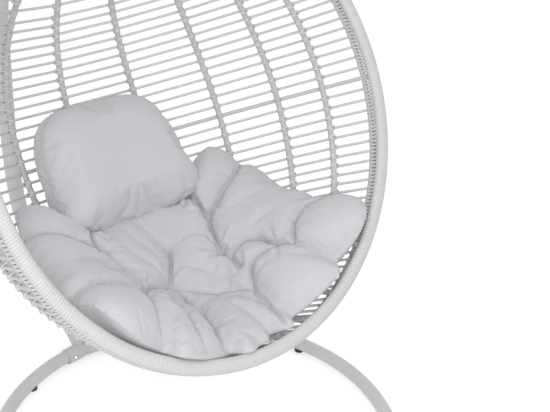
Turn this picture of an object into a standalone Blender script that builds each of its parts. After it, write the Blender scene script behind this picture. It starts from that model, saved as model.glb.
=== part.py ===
# Round hanging chair: a wicker bowl on a wrapped round rim, hung from a C-shaped pole on a floor ring.
# Metres, +Z up. The origin is on the floor under the hanger, and the chair faces -Y.
import math

import bmesh
import bpy
from mathutils import Matrix, Vector

# Rim and bowl
RIM_RADIUS = 0.55
RIM_BAND = 0.033
RIM_THICK = 0.026
RIM_HEIGHT = 0.876
LEAN = 24.5
BOWL_DEPTH = 0.5775
BOWL_SIDE_OUT = 0.0005
BOWL_END_OUT = 0.0085
BOWL_BLUNT = 2.33
BOWL_FULLNESS = 0.057
# Wicker
ROD_SIZE = 0.0070
ROD_PITCH = 0.0275
ROD_PITCH_LOSS = 0.0005
ROD_PITCH_LEAST = 0.0238
ROD_PITCH_LOW = 0.0200
ROD_PITCH_ENDS = 0.032
ROD_ENDS_FROM = 0.33
HOOP_RADIUS = 0.0062
HOOP_GAP = 0.0018
HOOP_BACK = 0.036
MIDDLE_RADIUS = 0.0055
MIDDLE_LEVEL = -0.027
RIB_RADIUS = 0.0078
RIB_GAP = 0.0011
RIB_ANGLES = (0.0, 21.5, 43.1, 60.4, 74.1)
RIB_END_STEP = 6.0
# Cushions
PAD_THICK = 0.125
PAD_EDGE = 0.060
PAD_CROWN = 5.0
CREASE_DEPTH = 0.45
CREASE_WIDTH = 4.2
TUFT_DEPTH = 0.66
PAD_GAP = 0.0030
PAD_CENTRE_BACK = 0.10
PAD_CENTRE_DOWN = 0.05
PILLOW_WIDTH = 0.48
PILLOW_HEIGHT = 0.31
PILLOW_TAPER = 0.08
PILLOW_THICK = 0.17
PILLOW_LEVEL = -0.0525
PILLOW_GAP = 0.0028
# Floor ring and pole
RING_RADIUS = 0.487
RING_TUBE = 0.0175
RING_BACK = 0.045
TUBE_WALL = 0.002
FOOT_HEIGHT = 0.006
FOOT_RADIUS = 0.013
FOOT_ANGLES = (-52.0, 12.7, 66.0)
POLE_RADIUS = 0.0225
POLE_REACH = 0.6584
POLE_WAIST = 0.80
POLE_RISE = 38.0
POLE_STRAIGHT = 0.15
POLE_TIP = 0.04
SOCKET_WALL = 0.004
SOCKET_LENGTH = 0.10
SOCKET_ARM = 0.065
SLEEVE_START = 0.010
SOCKET_STOP = 0.012
SOCKET_FLOOR = 0.0015
JOINER_LENGTH = 0.12
SPIGOT_LENGTH = 0.16
BOLT_RADIUS = 0.004
BOLT_HEAD = 0.0065
# Hanger
EYE_WIRE = 0.0045
EYE_RADIUS = 0.013
EYE_SHANK = 0.04674
PIN_RADIUS = 0.005
SHACKLE_GAP = 0.0115
SHACKLE_DROP = 0.038
SHACKLE_WIRE = 0.0045
RING_WIRE = 0.004
SWIVEL_RING = 0.013
SWIVEL_HOUSING = 0.014
SNAP_WIRE = 0.005
SNAP_LENGTH = 0.105
SNAP_HALF_WIDTH = 0.019
EAR_WALL = 0.0018
GATE_PIN = 0.0015
LOOP_WIRE = 0.0045
LOOP_HALF_WIDTH = 0.022
LOOP_RISE = 0.062
CLEAR = 0.0003

for old in list(bpy.data.objects):
    bpy.data.objects.remove(old, do_unlink=True)


def paint(name, colour, roughness, metallic=0.0):
    material = bpy.data.materials.new(name)
    material.use_nodes = True
    shader = material.node_tree.nodes["Principled BSDF"]
    shader.inputs["Base Color"].default_value = (*colour, 1.0)
    shader.inputs["Roughness"].default_value = roughness
    shader.inputs["Metallic"].default_value = metallic
    return material


WICKER = paint("white_wicker", (0.80, 0.80, 0.79), 0.55)
STEEL = paint("white_powder_coat", (0.82, 0.82, 0.81), 0.40)
ZINC = paint("zinc_plate", (0.60, 0.61, 0.62), 0.30, 1.0)
BLACK = paint("black_plastic", (0.02, 0.02, 0.02), 0.60)
FABRIC = paint("pale_fabric", (0.78, 0.79, 0.81), 0.90)


def empty(name, place, parent=None, turn=(0.0, 0.0, 0.0)):
    holder = bpy.data.objects.new(name, None)
    bpy.context.collection.objects.link(holder)
    holder.location = place
    holder.rotation_euler = turn
    if parent:
        bpy.context.view_layer.update()
        holder.parent = parent
        holder.matrix_parent_inverse = parent.matrix_world.inverted()
    bpy.context.view_layer.update()
    return holder


def place(bm, name, material, parent=None, local=False, smooth=35.0):
    bmesh.ops.recalc_face_normals(bm, faces=bm.faces)
    mesh = bpy.data.meshes.new(name)
    bm.to_mesh(mesh)
    bm.free()
    mesh.shade_smooth()
    mesh.set_sharp_from_angle(angle=math.radians(smooth))
    if material:
        mesh.materials.append(material)
    obj = bpy.data.objects.new(name, mesh)
    bpy.context.collection.objects.link(obj)
    if parent:
        obj.parent = parent
        if not local:
            obj.matrix_parent_inverse = parent.matrix_world.inverted()
    return obj


def boolean(obj, other, operation):
    other.hide_render = True
    other.display_type = "WIRE"
    modifier = obj.modifiers.new(operation.lower() + "_" + other.name, "BOOLEAN")
    modifier.operation = operation
    modifier.solver = "EXACT"
    modifier.object = other


def polygon(sides, radius, other_radius=None, start=0.0):
    across = radius if other_radius is None else other_radius
    turns = [start + 2 * math.pi * k / sides for k in range(sides)]
    return [(radius * math.cos(a), across * math.sin(a)) for a in turns]


def sweep(bm, path, normals, section, closed=False, bore=None, ends=(None, None)):
    """A section carried along a path; section points are (along the normal, along the binormal)."""
    count = len(path)

    def ring_at(i, outline):
        before = path[i - 1] if closed or i else path[0]
        after = path[(i + 1) % count] if closed or i + 1 < count else path[-1]
        along = (after - before).normalized()
        if not closed and i == 0 and ends[0]:
            along = ends[0]
        if not closed and i == count - 1 and ends[1]:
            along = ends[1]
        normal = (normals[i] - along * normals[i].dot(along)).normalized()
        side = along.cross(normal)
        stretch = 1.0
        if closed or 0 < i < count - 1:
            into = (path[i] - before).normalized()
            stretch = 1.0 / max(0.5, into.dot(along))
        bend = (after - path[i]).normalized() - (path[i] - before).normalized()
        inward = bend.normalized() if bend.length > 1e-6 else None
        points = []
        for n, b in outline:
            offset = normal * n + side * b
            if inward and stretch > 1.0:
                offset += inward * offset.dot(inward) * (stretch - 1.0)
            points.append(bm.verts.new(path[i] + offset))
        return points

    def skin(rings):
        last = count if closed else count - 1
        for i in range(last):
            a, b = rings[i], rings[(i + 1) % count]
            for k in range(len(a)):
                j = (k + 1) % len(a)
                bm.faces.new((a[k], a[j], b[j], b[k]))

    outer = [ring_at(i, section) for i in range(count)]
    skin(outer)
    if bore:
        inner = [ring_at(i, bore) for i in range(count)]
        skin(inner)
    if closed:
        return
    for i in (0, count - 1):
        if not bore:
            bm.faces.new(outer[i])
            continue
        wide, narrow = outer[i], inner[i]
        n, m = len(wide), len(narrow)
        a = b = 0
        while a < n or b < m:
            if b == m or (a < n and (a + 1) / n <= (b + 1) / m):
                bm.faces.new((wide[a % n], wide[(a + 1) % n], narrow[b % m]))
                a += 1
            else:
                bm.faces.new((wide[a % n], narrow[(b + 1) % m], narrow[b % m]))
                b += 1


def turned(bm, profile, sides, centre, axis=Vector((0, 0, 1))):
    """A closed turned solid; the profile is (radius, height) from axis to axis, bottom to top."""
    axis = axis.normalized()
    first = axis.orthogonal().normalized()
    second = axis.cross(first)
    rings = []
    for radius, height in profile:
        if radius < 1e-9:
            rings.append([bm.verts.new(centre + axis * height)])
            continue
        ring = []
        for k in range(sides):
            a = 2 * math.pi * (k + 0.5) / sides
            spoke = first * math.cos(a) + second * math.sin(a)
            ring.append(bm.verts.new(centre + axis * height + spoke * radius))
        rings.append(ring)
    skin_rows(bm, rings, sides)


def skin_rows(bm, rows, sides):
    for low, high in zip(rows, rows[1:]):
        if len(low) == len(high) == 1:
            continue
        for k in range(sides):
            j = (k + 1) % sides
            corners = [low[k % len(low)], low[j % len(low)], high[j % len(high)], high[k % len(high)]]
            bm.faces.new(list(dict.fromkeys(corners)))


def rod_between(bm, start, end, radius, sides=8):
    turned(bm, [(0, 0), (radius, 0), (radius, (end - start).length), (0, (end - start).length)],
           sides, start, end - start)


def ring_link(bm, centre, radius, wire, normal, segments=16, sides=6):
    first = normal.orthogonal().normalized()
    second = normal.cross(first)
    turns = [2 * math.pi * (k + 0.5) / segments for k in range(segments)]
    spokes = [first * math.cos(a) + second * math.sin(a) for a in turns]
    path = [centre + s * radius for s in spokes]
    sweep(bm, path, spokes, polygon(sides, wire, start=math.pi / sides), closed=True)


# Heights and places that several pieces share
lean = math.radians(LEAN)
rim_middle = RIM_RADIUS - RIM_BAND / 2
RIM_CENTRE = Vector((0, -rim_middle * math.sin(lean), RIM_HEIGHT))
rim_top = RIM_HEIGHT + rim_middle * math.cos(lean)
loop_top = rim_top + LOOP_RISE
snap_low = loop_top - LOOP_WIRE - SNAP_WIRE - CLEAR
snap_high = snap_low + SNAP_LENGTH
lower_ring = snap_high - SNAP_WIRE - RING_WIRE - CLEAR + SWIVEL_RING
housing_low = lower_ring + SWIVEL_RING + RING_WIRE + 0.006
housing_high = housing_low + 0.027
upper_ring = housing_high + SWIVEL_RING
side_axis = upper_ring + SWIVEL_RING
bow_low = side_axis - RING_WIRE - SHACKLE_WIRE - CLEAR
pin_height = bow_low + SHACKLE_DROP
eye_height = pin_height + EYE_RADIUS - EYE_WIRE - PIN_RADIUS - CLEAR
pole_top = eye_height + EYE_SHANK + POLE_RADIUS
ring_level = FOOT_HEIGHT + RING_TUBE
RING_CENTRE = Vector((0, RIM_CENTRE.y + RING_BACK, ring_level))
ring_bore = RING_TUBE - TUBE_WALL
pole_bore = POLE_RADIUS - TUBE_WALL

swing_axis = empty("swing_axis", (0, 0, pin_height))
tilt_axis = empty("tilt_axis", (0, 0, side_axis), swing_axis)
turn_axis = empty("turn_axis", (0, 0, housing_low), tilt_axis)
basket = empty("basket_frame", RIM_CENTRE, turn_axis, (-lean, 0, 0))

# Floor ring: two bent half tubes that meet at the front over a hidden joiner and at the back in the socket.
RING_STEPS = 18
joint_gap = CLEAR / RING_RADIUS
arm_angle = SOCKET_ARM / RING_RADIUS
stop_angle = math.pi - SOCKET_STOP / RING_RADIUS
step_angle = (stop_angle - joint_gap / 2) / RING_STEPS


def on_ring(angle):
    """A point on the ring's centre line; the angle runs from the front, positive to the right."""
    return RING_CENTRE + Vector((math.sin(angle), -math.cos(angle), 0)) * RING_RADIUS


def on_tube(angle):
    """The same point on the straight facets that the tube has."""
    size = abs(angle)
    sign = 1 if angle >= 0 else -1
    k = min(RING_STEPS - 1, max(0, int((size - joint_gap / 2) / step_angle)))
    start = joint_gap / 2 + k * step_angle
    return on_ring(sign * start).lerp(on_ring(sign * (start + step_angle)), (size - start) / step_angle)


def ring_tube(bm, angles, section, bore=None):
    path = [on_tube(a) for a in angles]
    spokes = [(p - RING_CENTRE).normalized() for p in path]
    sign = 1 if angles[-1] > angles[0] else -1
    ends = [Vector((math.cos(a), math.sin(a), 0)) * sign for a in (angles[0], angles[-1])]
    sweep(bm, path, spokes, section, bore=bore, ends=ends)


def half_angles(sign, last=stop_angle):
    nodes = [joint_gap / 2 + k * step_angle for k in range(RING_STEPS)] + [last]
    return [sign * a for a in nodes]


def ring_section(grow=0.0):
    return polygon(10, RING_TUBE + grow, start=math.pi / 10)


def bore_section(shrink=0.0):
    return polygon(8, ring_bore - shrink, start=math.pi / 8)


halves = {}
for side, sign in (("left", -1), ("right", 1)):
    bm = bmesh.new()
    ring_tube(bm, half_angles(sign), ring_section(), bore_section())
    halves[sign] = place(bm, "base_ring_" + side, STEEL)
joiner_angle = JOINER_LENGTH / 2 / RING_RADIUS
nodes = [a for a in half_angles(1) if a < joiner_angle - 1e-4][1:]
joiner_angles = [-joiner_angle] + [-a for a in nodes[::-1]] + [0.0] + nodes + [joiner_angle]
bm = bmesh.new()
ring_tube(bm, joiner_angles, bore_section(CLEAR))
joiner = place(bm, "base_joiner", ZINC)

# Feet: black glides that cup the ring from below.
tube_cutters = {}
for sign in (-1, 1):
    bm = bmesh.new()
    ring_tube(bm, half_angles(sign, stop_angle + joint_gap), ring_section(CLEAR))
    tube_cutters[sign] = place(bm, "ring_cutter_" + str(sign), None)
    tube_cutters[sign].hide_render = True
    tube_cutters[sign].display_type = "WIRE"
foot_top = ring_level - math.sqrt(RING_TUBE ** 2 - FOOT_RADIUS ** 2)
for row, angle in zip(("front", "middle", "rear"), FOOT_ANGLES):
    for side, sign in (("left", -1), ("right", 1)):
        spot = on_tube(sign * (math.pi / 2 + math.radians(angle)))
        bm = bmesh.new()
        turned(bm, [(0, 0), (FOOT_RADIUS - 0.0015, 0), (FOOT_RADIUS, 0.0015), (FOOT_RADIUS, foot_top),
                    (0, foot_top)], 12, Vector((spot.x, spot.y, 0)))
        foot = place(bm, "foot_" + row + "_" + side, BLACK)
        boolean(foot, tube_cutters[sign], "DIFFERENCE")

# Pole: one bend from the socket, out behind the bowl and over to the hanger, in two lengths.
foot_way = Vector((0, math.cos(math.radians(POLE_RISE)), math.sin(math.radians(POLE_RISE))))
ring_back = on_tube(math.pi)
pole_start = RING_TUBE + SOCKET_WALL + SOCKET_FLOOR
ROUND = 0.5523


def bezier(a, b, c, d, t):
    s = 1 - t
    return a * s ** 3 + b * (3 * s * s * t) + c * (3 * s * t * t) + d * t ** 3


bend_low = ring_back + foot_way * POLE_STRAIGHT
bend_mid = Vector((0, POLE_REACH, POLE_WAIST))
bend_high = Vector((0, POLE_TIP, pole_top))
drop = bend_mid.z - bend_low.z
rise = bend_high.z - bend_mid.z
depth = bend_mid.y - bend_high.y
lower_bend = (bend_low, bend_low + foot_way * drop * 0.45,
              bend_mid - Vector((0, 0, drop * ROUND)), bend_mid)
upper_bend = (bend_mid, bend_mid + Vector((0, 0, rise * ROUND)),
              bend_high + Vector((0, depth * ROUND, 0)), bend_high)
upright = Vector((0, 0, 1))
lower_path = [ring_back + foot_way * pole_start]
lower_path += [bezier(*lower_bend, k / 10) for k in range(11)]
upper_path = [bezier(*upper_bend, k / 12) for k in range(13)]
upper_path[0] = upper_path[0] + upright * CLEAR
upper_path += [Vector((0, -POLE_TIP, pole_top))]


def pole_tube(bm, path, section, bore=None, ends=(None, None)):
    sweep(bm, path, [Vector((1, 0, 0))] * len(path), section, bore=bore, ends=ends)


def pole_section(grow=0.0):
    return polygon(12, POLE_RADIUS + grow, start=math.pi / 12)


def pole_hole(shrink=0.0):
    return polygon(8, pole_bore - shrink, start=math.pi / 8)


bm = bmesh.new()
pole_tube(bm, lower_path, pole_section(), pole_hole(), (foot_way, upright))
lower_pole = place(bm, "lower_pole", STEEL)
bm = bmesh.new()
pole_tube(bm, upper_path, pole_section(), pole_hole(), (upright, Vector((0, -1, 0))))
upper_pole = place(bm, "upper_pole", STEEL)


def walk(points, length):
    """The first stretch of a path, of a given length."""
    way = [points[0]]
    for a, b in zip(points, points[1:]):
        step = (b - a).length
        if step >= length:
            way.append(a.lerp(b, length / step))
            return way
        way.append(b)
        length -= step
    return way


half_spigot = SPIGOT_LENGTH / 2
below = walk(lower_path[::-1], half_spigot)
above = walk(upper_path, half_spigot)
bm = bmesh.new()
pole_tube(bm, below[::-1] + above[1:], pole_hole(CLEAR * 1.5))
spigot = place(bm, "pole_spigot", ZINC)

# End cap: a plastic plug with a domed flange in the pole's open end.
tip = Vector((0, -POLE_TIP, pole_top))
bm = bmesh.new()
pole_tube(bm, [tip + Vector((0, 0.018, 0)), tip - Vector((0, CLEAR, 0))], pole_hole(CLEAR))
end_cap = place(bm, "pole_end_cap", BLACK)
bm = bmesh.new()
turned(bm, [(0, CLEAR), (POLE_RADIUS, CLEAR), (POLE_RADIUS, 0.003), (POLE_RADIUS * 0.8, 0.006), (0, 0.007)],
       12, tip, Vector((0, -1, 0)))
cap_flange = place(bm, "cap_flange", None)
boolean(end_cap, cap_flange, "UNION")

# Socket: a cross tube over the ends of the ring halves, with a sleeve that takes the pole's foot.
arms = [math.pi - arm_angle, stop_angle, math.pi]
cross_path = [on_tube(a) for a in arms] + [on_tube(-a) for a in arms[1::-1]]
cross_out = [(p - RING_CENTRE).normalized() for p in cross_path]
cross_ends = [Vector((math.cos(a), math.sin(a), 0)) for a in (arms[0], -arms[0])]
bm = bmesh.new()
sweep(bm, cross_path, cross_out, ring_section(SOCKET_WALL), ends=cross_ends)
socket = place(bm, "pole_socket", STEEL)
sleeve_top = ring_back + foot_way * (pole_start + SOCKET_LENGTH)
bm = bmesh.new()
pole_tube(bm, [ring_back + foot_way * SLEEVE_START, sleeve_top], pole_section(SOCKET_WALL))
boolean(socket, place(bm, "socket_sleeve", None), "UNION")
for sign in (-1, 1):
    boolean(socket, tube_cutters[sign], "DIFFERENCE")
bm = bmesh.new()
bore_line = [ring_back + foot_way * (pole_start - CLEAR), sleeve_top + foot_way * SOCKET_LENGTH / 5]
pole_tube(bm, bore_line, pole_section(CLEAR))
boolean(socket, place(bm, "socket_bore", None), "DIFFERENCE")

# Bolts: round-headed, each through the walls that it holds.


def bolt(name, seat, way, length, holds, parent=None):
    bm = bmesh.new()
    rise_to = BOLT_HEAD * 0.75
    profile = [(0, -rise_to), (BOLT_HEAD * 0.6, -rise_to), (BOLT_HEAD, -rise_to * 0.45)]
    profile += [(BOLT_HEAD, -CLEAR), (BOLT_RADIUS, -CLEAR), (BOLT_RADIUS, length), (0, length)]
    turned(bm, profile, 8, seat, way)
    place(bm, name, ZINC, parent)
    bm = bmesh.new()
    rod_between(bm, seat - way * 0.006, seat + way * (length + CLEAR), BOLT_RADIUS + CLEAR)
    cutter = place(bm, name + "_hole", None, parent)
    for piece in holds:
        boolean(piece, cutter, "DIFFERENCE")


ring_flat = RING_TUBE * math.cos(math.pi / 10)
socket_flat = (RING_TUBE + SOCKET_WALL) * math.cos(math.pi / 10)
for side, sign in (("left", -1), ("right", 1)):
    angle = sign * joiner_angle * 0.55
    spot = on_tube(angle)
    outward = (spot - RING_CENTRE).normalized()
    bolt("front_bolt_" + side, spot - outward * ring_flat, outward, RING_TUBE, (halves[sign], joiner))
    spot = on_tube(sign * (math.pi - arm_angle * 0.72))
    outward = (spot - RING_CENTRE).normalized()
    bolt("rear_bolt_" + side, spot - outward * socket_flat, outward, RING_TUBE, (halves[sign], socket))
across = Vector((-1, 0, 0))
sleeve_flat = (POLE_RADIUS + SOCKET_WALL) * math.cos(math.pi / 12)
pole_flat = POLE_RADIUS * math.cos(math.pi / 12)
foot_bolt = ring_back + foot_way * (pole_start + SOCKET_LENGTH * 0.62)
bolt("pole_foot_bolt", foot_bolt - across * sleeve_flat, across, POLE_RADIUS, (socket, lower_pole))
for level, spot, tube in (("low", below, lower_pole), ("high", above, upper_pole)):
    middle = walk(spot, half_spigot * 0.55)[-1]
    bolt("pole_joint_bolt_" + level, middle - across * pole_flat, across, POLE_RADIUS, (tube, spigot))

# Hanger on the pole: an eye bolt through the pole's end, with a cap nut on top.
eye_spot = Vector((0, 0, eye_height))
nut_seat = pole_top + POLE_RADIUS
bm = bmesh.new()
ring_link(bm, eye_spot, EYE_RADIUS, EYE_WIRE, Vector((1, 0, 0)))
eye = place(bm, "hanger_eye", ZINC)
bm = bmesh.new()
shank_low = eye_spot + upright * EYE_RADIUS
shank_high = Vector((0, 0, nut_seat + 0.010))
rod_between(bm, shank_low, shank_high, PIN_RADIUS)
boolean(eye, place(bm, "eye_shank", None), "UNION")
bm = bmesh.new()
rod_between(bm, shank_low, shank_high + upright * 0.02, PIN_RADIUS + CLEAR)
shank_hole = place(bm, "eye_shank_hole", None)
boolean(upper_pole, shank_hole, "DIFFERENCE")
bm = bmesh.new()
turned(bm, [(0, CLEAR), (0.0105, CLEAR), (0.0105, 0.009), (0.0075, 0.0145), (0, 0.016)], 6,
       Vector((0, 0, nut_seat)))
nut = place(bm, "hanger_nut", ZINC)
bm = bmesh.new()
rod_between(bm, shank_low, shank_high + upright * CLEAR, PIN_RADIUS + CLEAR)
boolean(nut, place(bm, "nut_hole", None), "DIFFERENCE")

# Shackle: a bent bow on a cross pin that lies in the eye.
bow_radius = SHACKLE_GAP + SHACKLE_WIRE
bow = [Vector((-bow_radius, 0, pin_height + 0.008))]
for k in range(9):
    a = math.pi + math.pi * k / 8
    bow.append(Vector((bow_radius * math.cos(a), 0, bow_low + bow_radius * (1 + math.sin(a)))))
bow.append(Vector((bow_radius, 0, pin_height + 0.008)))
bm = bmesh.new()
sweep(bm, bow, [Vector((0, 1, 0))] * len(bow), polygon(8, SHACKLE_WIRE, start=math.pi / 8),
      ends=(-upright, upright))
shackle = place(bm, "shackle", ZINC, swing_axis)
for side, sign in (("left", -1), ("right", 1)):
    bm = bmesh.new()
    spot = Vector((sign * bow_radius, 0, pin_height))
    rod_between(bm, spot - Vector((0.0042, 0, 0)), spot + Vector((0.0042, 0, 0)), 0.0095, 10)
    boolean(shackle, place(bm, "shackle_ear_" + side, None, swing_axis), "UNION")
reach = bow_radius + 0.0042
bm = bmesh.new()
profile = [(0, -reach - 0.006), (0.008, -reach - 0.006), (0.008, -reach - CLEAR)]
profile += [(PIN_RADIUS, -reach - CLEAR), (PIN_RADIUS, reach + 0.004), (0, reach + 0.004)]
turned(bm, profile, 8, Vector((0, 0, pin_height)), Vector((1, 0, 0)))
place(bm, "shackle_pin", ZINC, swing_axis)
bm = bmesh.new()
pin_spot = Vector((0, 0, pin_height))
pin_half = Vector((reach + 0.01, 0, 0))
rod_between(bm, pin_spot - pin_half, pin_spot + pin_half, PIN_RADIUS + CLEAR)
boolean(shackle, place(bm, "shackle_pin_hole", None, swing_axis), "DIFFERENCE")

# Swivel: a ring with a turned housing, and a headed stem with its own ring that turns inside it.
head_radius = SWIVEL_HOUSING - 0.0045
stem_radius = PIN_RADIUS
bm = bmesh.new()
turned(bm, [(stem_radius + CLEAR * 2, 0), (SWIVEL_HOUSING - 0.002, 0), (SWIVEL_HOUSING, 0.003),
            (SWIVEL_HOUSING, 0.021), (SWIVEL_HOUSING - 0.005, 0.027), (0, 0.028), (0, 0.0195),
            (head_radius + CLEAR * 2, 0.0195), (head_radius + CLEAR * 2, 0.0065),
            (stem_radius + CLEAR * 2, 0.0065), (stem_radius + CLEAR * 2, 0)], 12, Vector((0, 0, housing_low)))
bmesh.ops.remove_doubles(bm, verts=bm.verts, dist=0.00001)
housing = place(bm, "swivel_housing", ZINC, tilt_axis)
bm = bmesh.new()
ring_link(bm, Vector((0, 0, upper_ring)), SWIVEL_RING, RING_WIRE, Vector((1, 0, 0)))
boolean(housing, place(bm, "swivel_upper_ring", None, tilt_axis), "UNION")
bm = bmesh.new()
ring_link(bm, Vector((0, 0, lower_ring)), SWIVEL_RING, RING_WIRE, Vector((0, 1, 0)))
stem = place(bm, "swivel_stem", ZINC, turn_axis)
stem_low = lower_ring + SWIVEL_RING - RING_WIRE * 0.5
head_low = housing_low + 0.0065 + CLEAR
bm = bmesh.new()
turned(bm, [(0, stem_low), (stem_radius, stem_low), (stem_radius, head_low), (head_radius, head_low),
            (head_radius, housing_low + 0.019), (0, housing_low + 0.019)], 12, Vector((0, 0, 0)))
boolean(stem, place(bm, "stem_head", None, turn_axis), "UNION")

# Snap hook: a bent link, open on one side, and a sprung gate that closes it.
GATE_LOW = snap_low + SNAP_LENGTH * 0.24
GATE_HIGH = snap_low + SNAP_LENGTH * 0.70
straight_low = snap_low + SNAP_HALF_WIDTH
straight_high = snap_high - SNAP_HALF_WIDTH
link = [Vector((0, -SNAP_HALF_WIDTH, GATE_LOW - SNAP_WIRE - CLEAR))]
for k in range(9):
    a = math.pi + math.pi * k / 8
    link.append(Vector((0, SNAP_HALF_WIDTH * math.cos(a), straight_low + SNAP_HALF_WIDTH * math.sin(a))))
for k in range(9):
    a = math.pi * k / 8
    link.append(Vector((0, SNAP_HALF_WIDTH * math.cos(a), straight_high + SNAP_HALF_WIDTH * math.sin(a))))
link.append(Vector((0, -SNAP_HALF_WIDTH, GATE_HIGH + CLEAR)))
bm = bmesh.new()
sweep(bm, link, [Vector((1, 0, 0))] * len(link), polygon(8, SNAP_WIRE, start=math.pi / 8),
      ends=(-upright, -upright))
snap = place(bm, "snap_hook", ZINC, turn_axis)
gate_radius = SNAP_WIRE * 0.8
gate_spot = Vector((0, -SNAP_HALF_WIDTH, GATE_LOW))
gate_axis = empty("gate_axis", gate_spot, turn_axis)
ear_inside = gate_radius + CLEAR
for side, sign in (("left", -1), ("right", 1)):
    bm = bmesh.new()
    bmesh.ops.create_cube(bm, size=1.0)
    for vert in bm.verts:
        vert.co.x = sign * (ear_inside + EAR_WALL * (vert.co.x * sign + 0.5))
        vert.co.y = gate_spot.y + vert.co.y * gate_radius * 1.6
        vert.co.z = gate_spot.z + (SNAP_WIRE * 0.8 if vert.co.z > 0 else -SNAP_WIRE * 2)
    boolean(snap, place(bm, "snap_ear_" + side, None, turn_axis), "UNION")
bm = bmesh.new()
gate_path = [Vector((0, -SNAP_HALF_WIDTH, z)) for z in (GATE_LOW - gate_radius * 0.75, GATE_HIGH - CLEAR)]
sweep(bm, gate_path, [Vector((1, 0, 0))] * 2, polygon(8, gate_radius, start=math.pi / 8))
gate = place(bm, "snap_gate", ZINC, gate_axis)
ear_outside = Vector((ear_inside + EAR_WALL, 0, 0))
bm = bmesh.new()
rod_between(bm, gate_spot - ear_outside, gate_spot + ear_outside, GATE_PIN)
place(bm, "gate_pin", ZINC, turn_axis)
bm = bmesh.new()
rod_between(bm, gate_spot - ear_outside * 1.2, gate_spot + ear_outside * 1.2, GATE_PIN + CLEAR)
pin_hole = place(bm, "gate_pin_hole", None, turn_axis)
boolean(snap, pin_hole, "DIFFERENCE")
boolean(gate, pin_hole, "DIFFERENCE")

# Rim: a round frame of oval section.
rim_steps = 56


def rim_ring(bm, grow=0.0):
    turns = [2 * math.pi * (k + 0.5) / rim_steps for k in range(rim_steps)]
    spokes = [Vector((math.sin(a), 0, math.cos(a))) for a in turns]
    sweep(bm, [s * rim_middle for s in spokes], spokes,
          polygon(8, RIM_BAND / 2 + grow, RIM_THICK / 2 + grow), closed=True)


bm = bmesh.new()
rim_ring(bm)
place(bm, "rim_frame", WICKER, basket, True)
bm = bmesh.new()
rim_ring(bm, CLEAR)
rim_cutter = place(bm, "rim_cutter", None, basket, True)

# Loop on top of the rim, its legs coped to the rim.
arch = [Vector((-LOOP_HALF_WIDTH, 0, rim_top))]
for k in range(9):
    a = math.pi - math.pi * k / 8
    arch.append(Vector((LOOP_HALF_WIDTH * math.cos(a), 0, loop_top + LOOP_HALF_WIDTH * (math.sin(a) - 1))))
arch.append(Vector((LOOP_HALF_WIDTH, 0, rim_top)))
bm = bmesh.new()
sweep(bm, arch, [Vector((0, 1, 0))] * len(arch), polygon(8, LOOP_WIRE, start=math.pi / 8),
      ends=(upright, -upright))
loop = place(bm, "hanging_loop", STEEL, turn_axis)
boolean(loop, rim_cutter, "DIFFERENCE")

# Bowl surface: the rods' centre lines lie on it.
# x runs to the right, y back from the rim and v up in the rim's plane.
bowl_half_width = rim_middle + BOWL_SIDE_OUT
bowl_half_height = rim_middle + BOWL_END_OUT


def bowl_width(v):
    return bowl_half_width * math.sqrt(max(0.0, 1 - (v / bowl_half_height) ** 2))


def bowl_reach(v):
    share = max(0.0, 1 - abs(v / bowl_half_height) ** BOWL_BLUNT) ** (1 / BOWL_BLUNT)
    return BOWL_DEPTH * share * (1 + BOWL_FULLNESS * v / RIM_RADIUS)


def on_bowl(phi, v):
    return Vector((bowl_width(v) * math.sin(phi), bowl_reach(v) * math.cos(phi), v))


def outward_at(point):
    v = point.z
    h = min(0.0005, (bowl_half_height - abs(v)) * 0.3)
    w = max(1e-6, bowl_width(v))
    d = max(1e-6, bowl_reach(v))
    w_slope = (bowl_width(v + h) - bowl_width(v - h)) / (2 * h)
    d_slope = (bowl_reach(v + h) - bowl_reach(v - h)) / (2 * h)
    slope = -point.x ** 2 * w_slope / w ** 3 - point.y ** 2 * d_slope / d ** 3
    return Vector((point.x / w ** 2, point.y / d ** 2, slope)).normalized()


def shifted(point, outward):
    return point + outward_at(point) * outward


def level_where(reach, upper=True):
    """The level at which the middle of the bowl is a given way behind the rim."""
    low, high = 0.0, bowl_half_height
    sign = 1 if upper else -1
    for _ in range(50):
        middle = (low + high) / 2
        if bowl_reach(sign * middle) > reach:
            low = middle
        else:
            high = middle
    return sign * low


# Ribs: they stand inside the rods and fan out to their own places on the rim's back.
rib_flat = RIB_RADIUS * math.cos(math.pi / 6)
rib_inset = ROD_SIZE / 2 + rib_flat + RIB_GAP
rib_end_back = RIM_THICK / 2 + CLEAR * 1.5
rib_face = rib_inset + rib_flat


def rib_across(index, v):
    """How far out a rib lies: a meridian of the bowl that settles at its own place on the rim."""
    spread = bowl_width(v) * math.sin(math.radians(RIB_ANGLES[index]))
    own = bowl_half_height * math.sin(math.radians(RIB_END_STEP * index))
    near = max(0.0, 1 - abs(spread - own) / max(1e-9, own))
    return max(spread, own) + own * near ** 2 / 4


def rib_phi(index, v):
    return math.asin(min(1.0, rib_across(index, v) / max(1e-9, bowl_width(v))))


def bend_angle(v):
    return math.asin(min(1.0, abs(v / bowl_half_height) ** (BOWL_BLUNT / 2)))


def rib_end(index, upper):
    """The level at which a rib reaches the rim's back."""
    low, high = 0.0, bowl_half_height
    sign = 1 if upper else -1
    for _ in range(50):
        middle = (low + high) / 2
        if on_bowl(rib_phi(index, sign * middle), sign * middle).y > rib_end_back:
            low = middle
        else:
            high = middle
    return sign * low


def rib_path(index, steps=18):
    low = -bend_angle(rib_end(index, False))
    high = bend_angle(rib_end(index, True))
    path = []
    for k in range(steps + 1):
        t = low + (high - low) * k / steps
        v = math.copysign(bowl_half_height * abs(math.sin(t)) ** (2 / BOWL_BLUNT), t)
        path.append(on_bowl(rib_phi(index, v), v))
    return path


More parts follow.
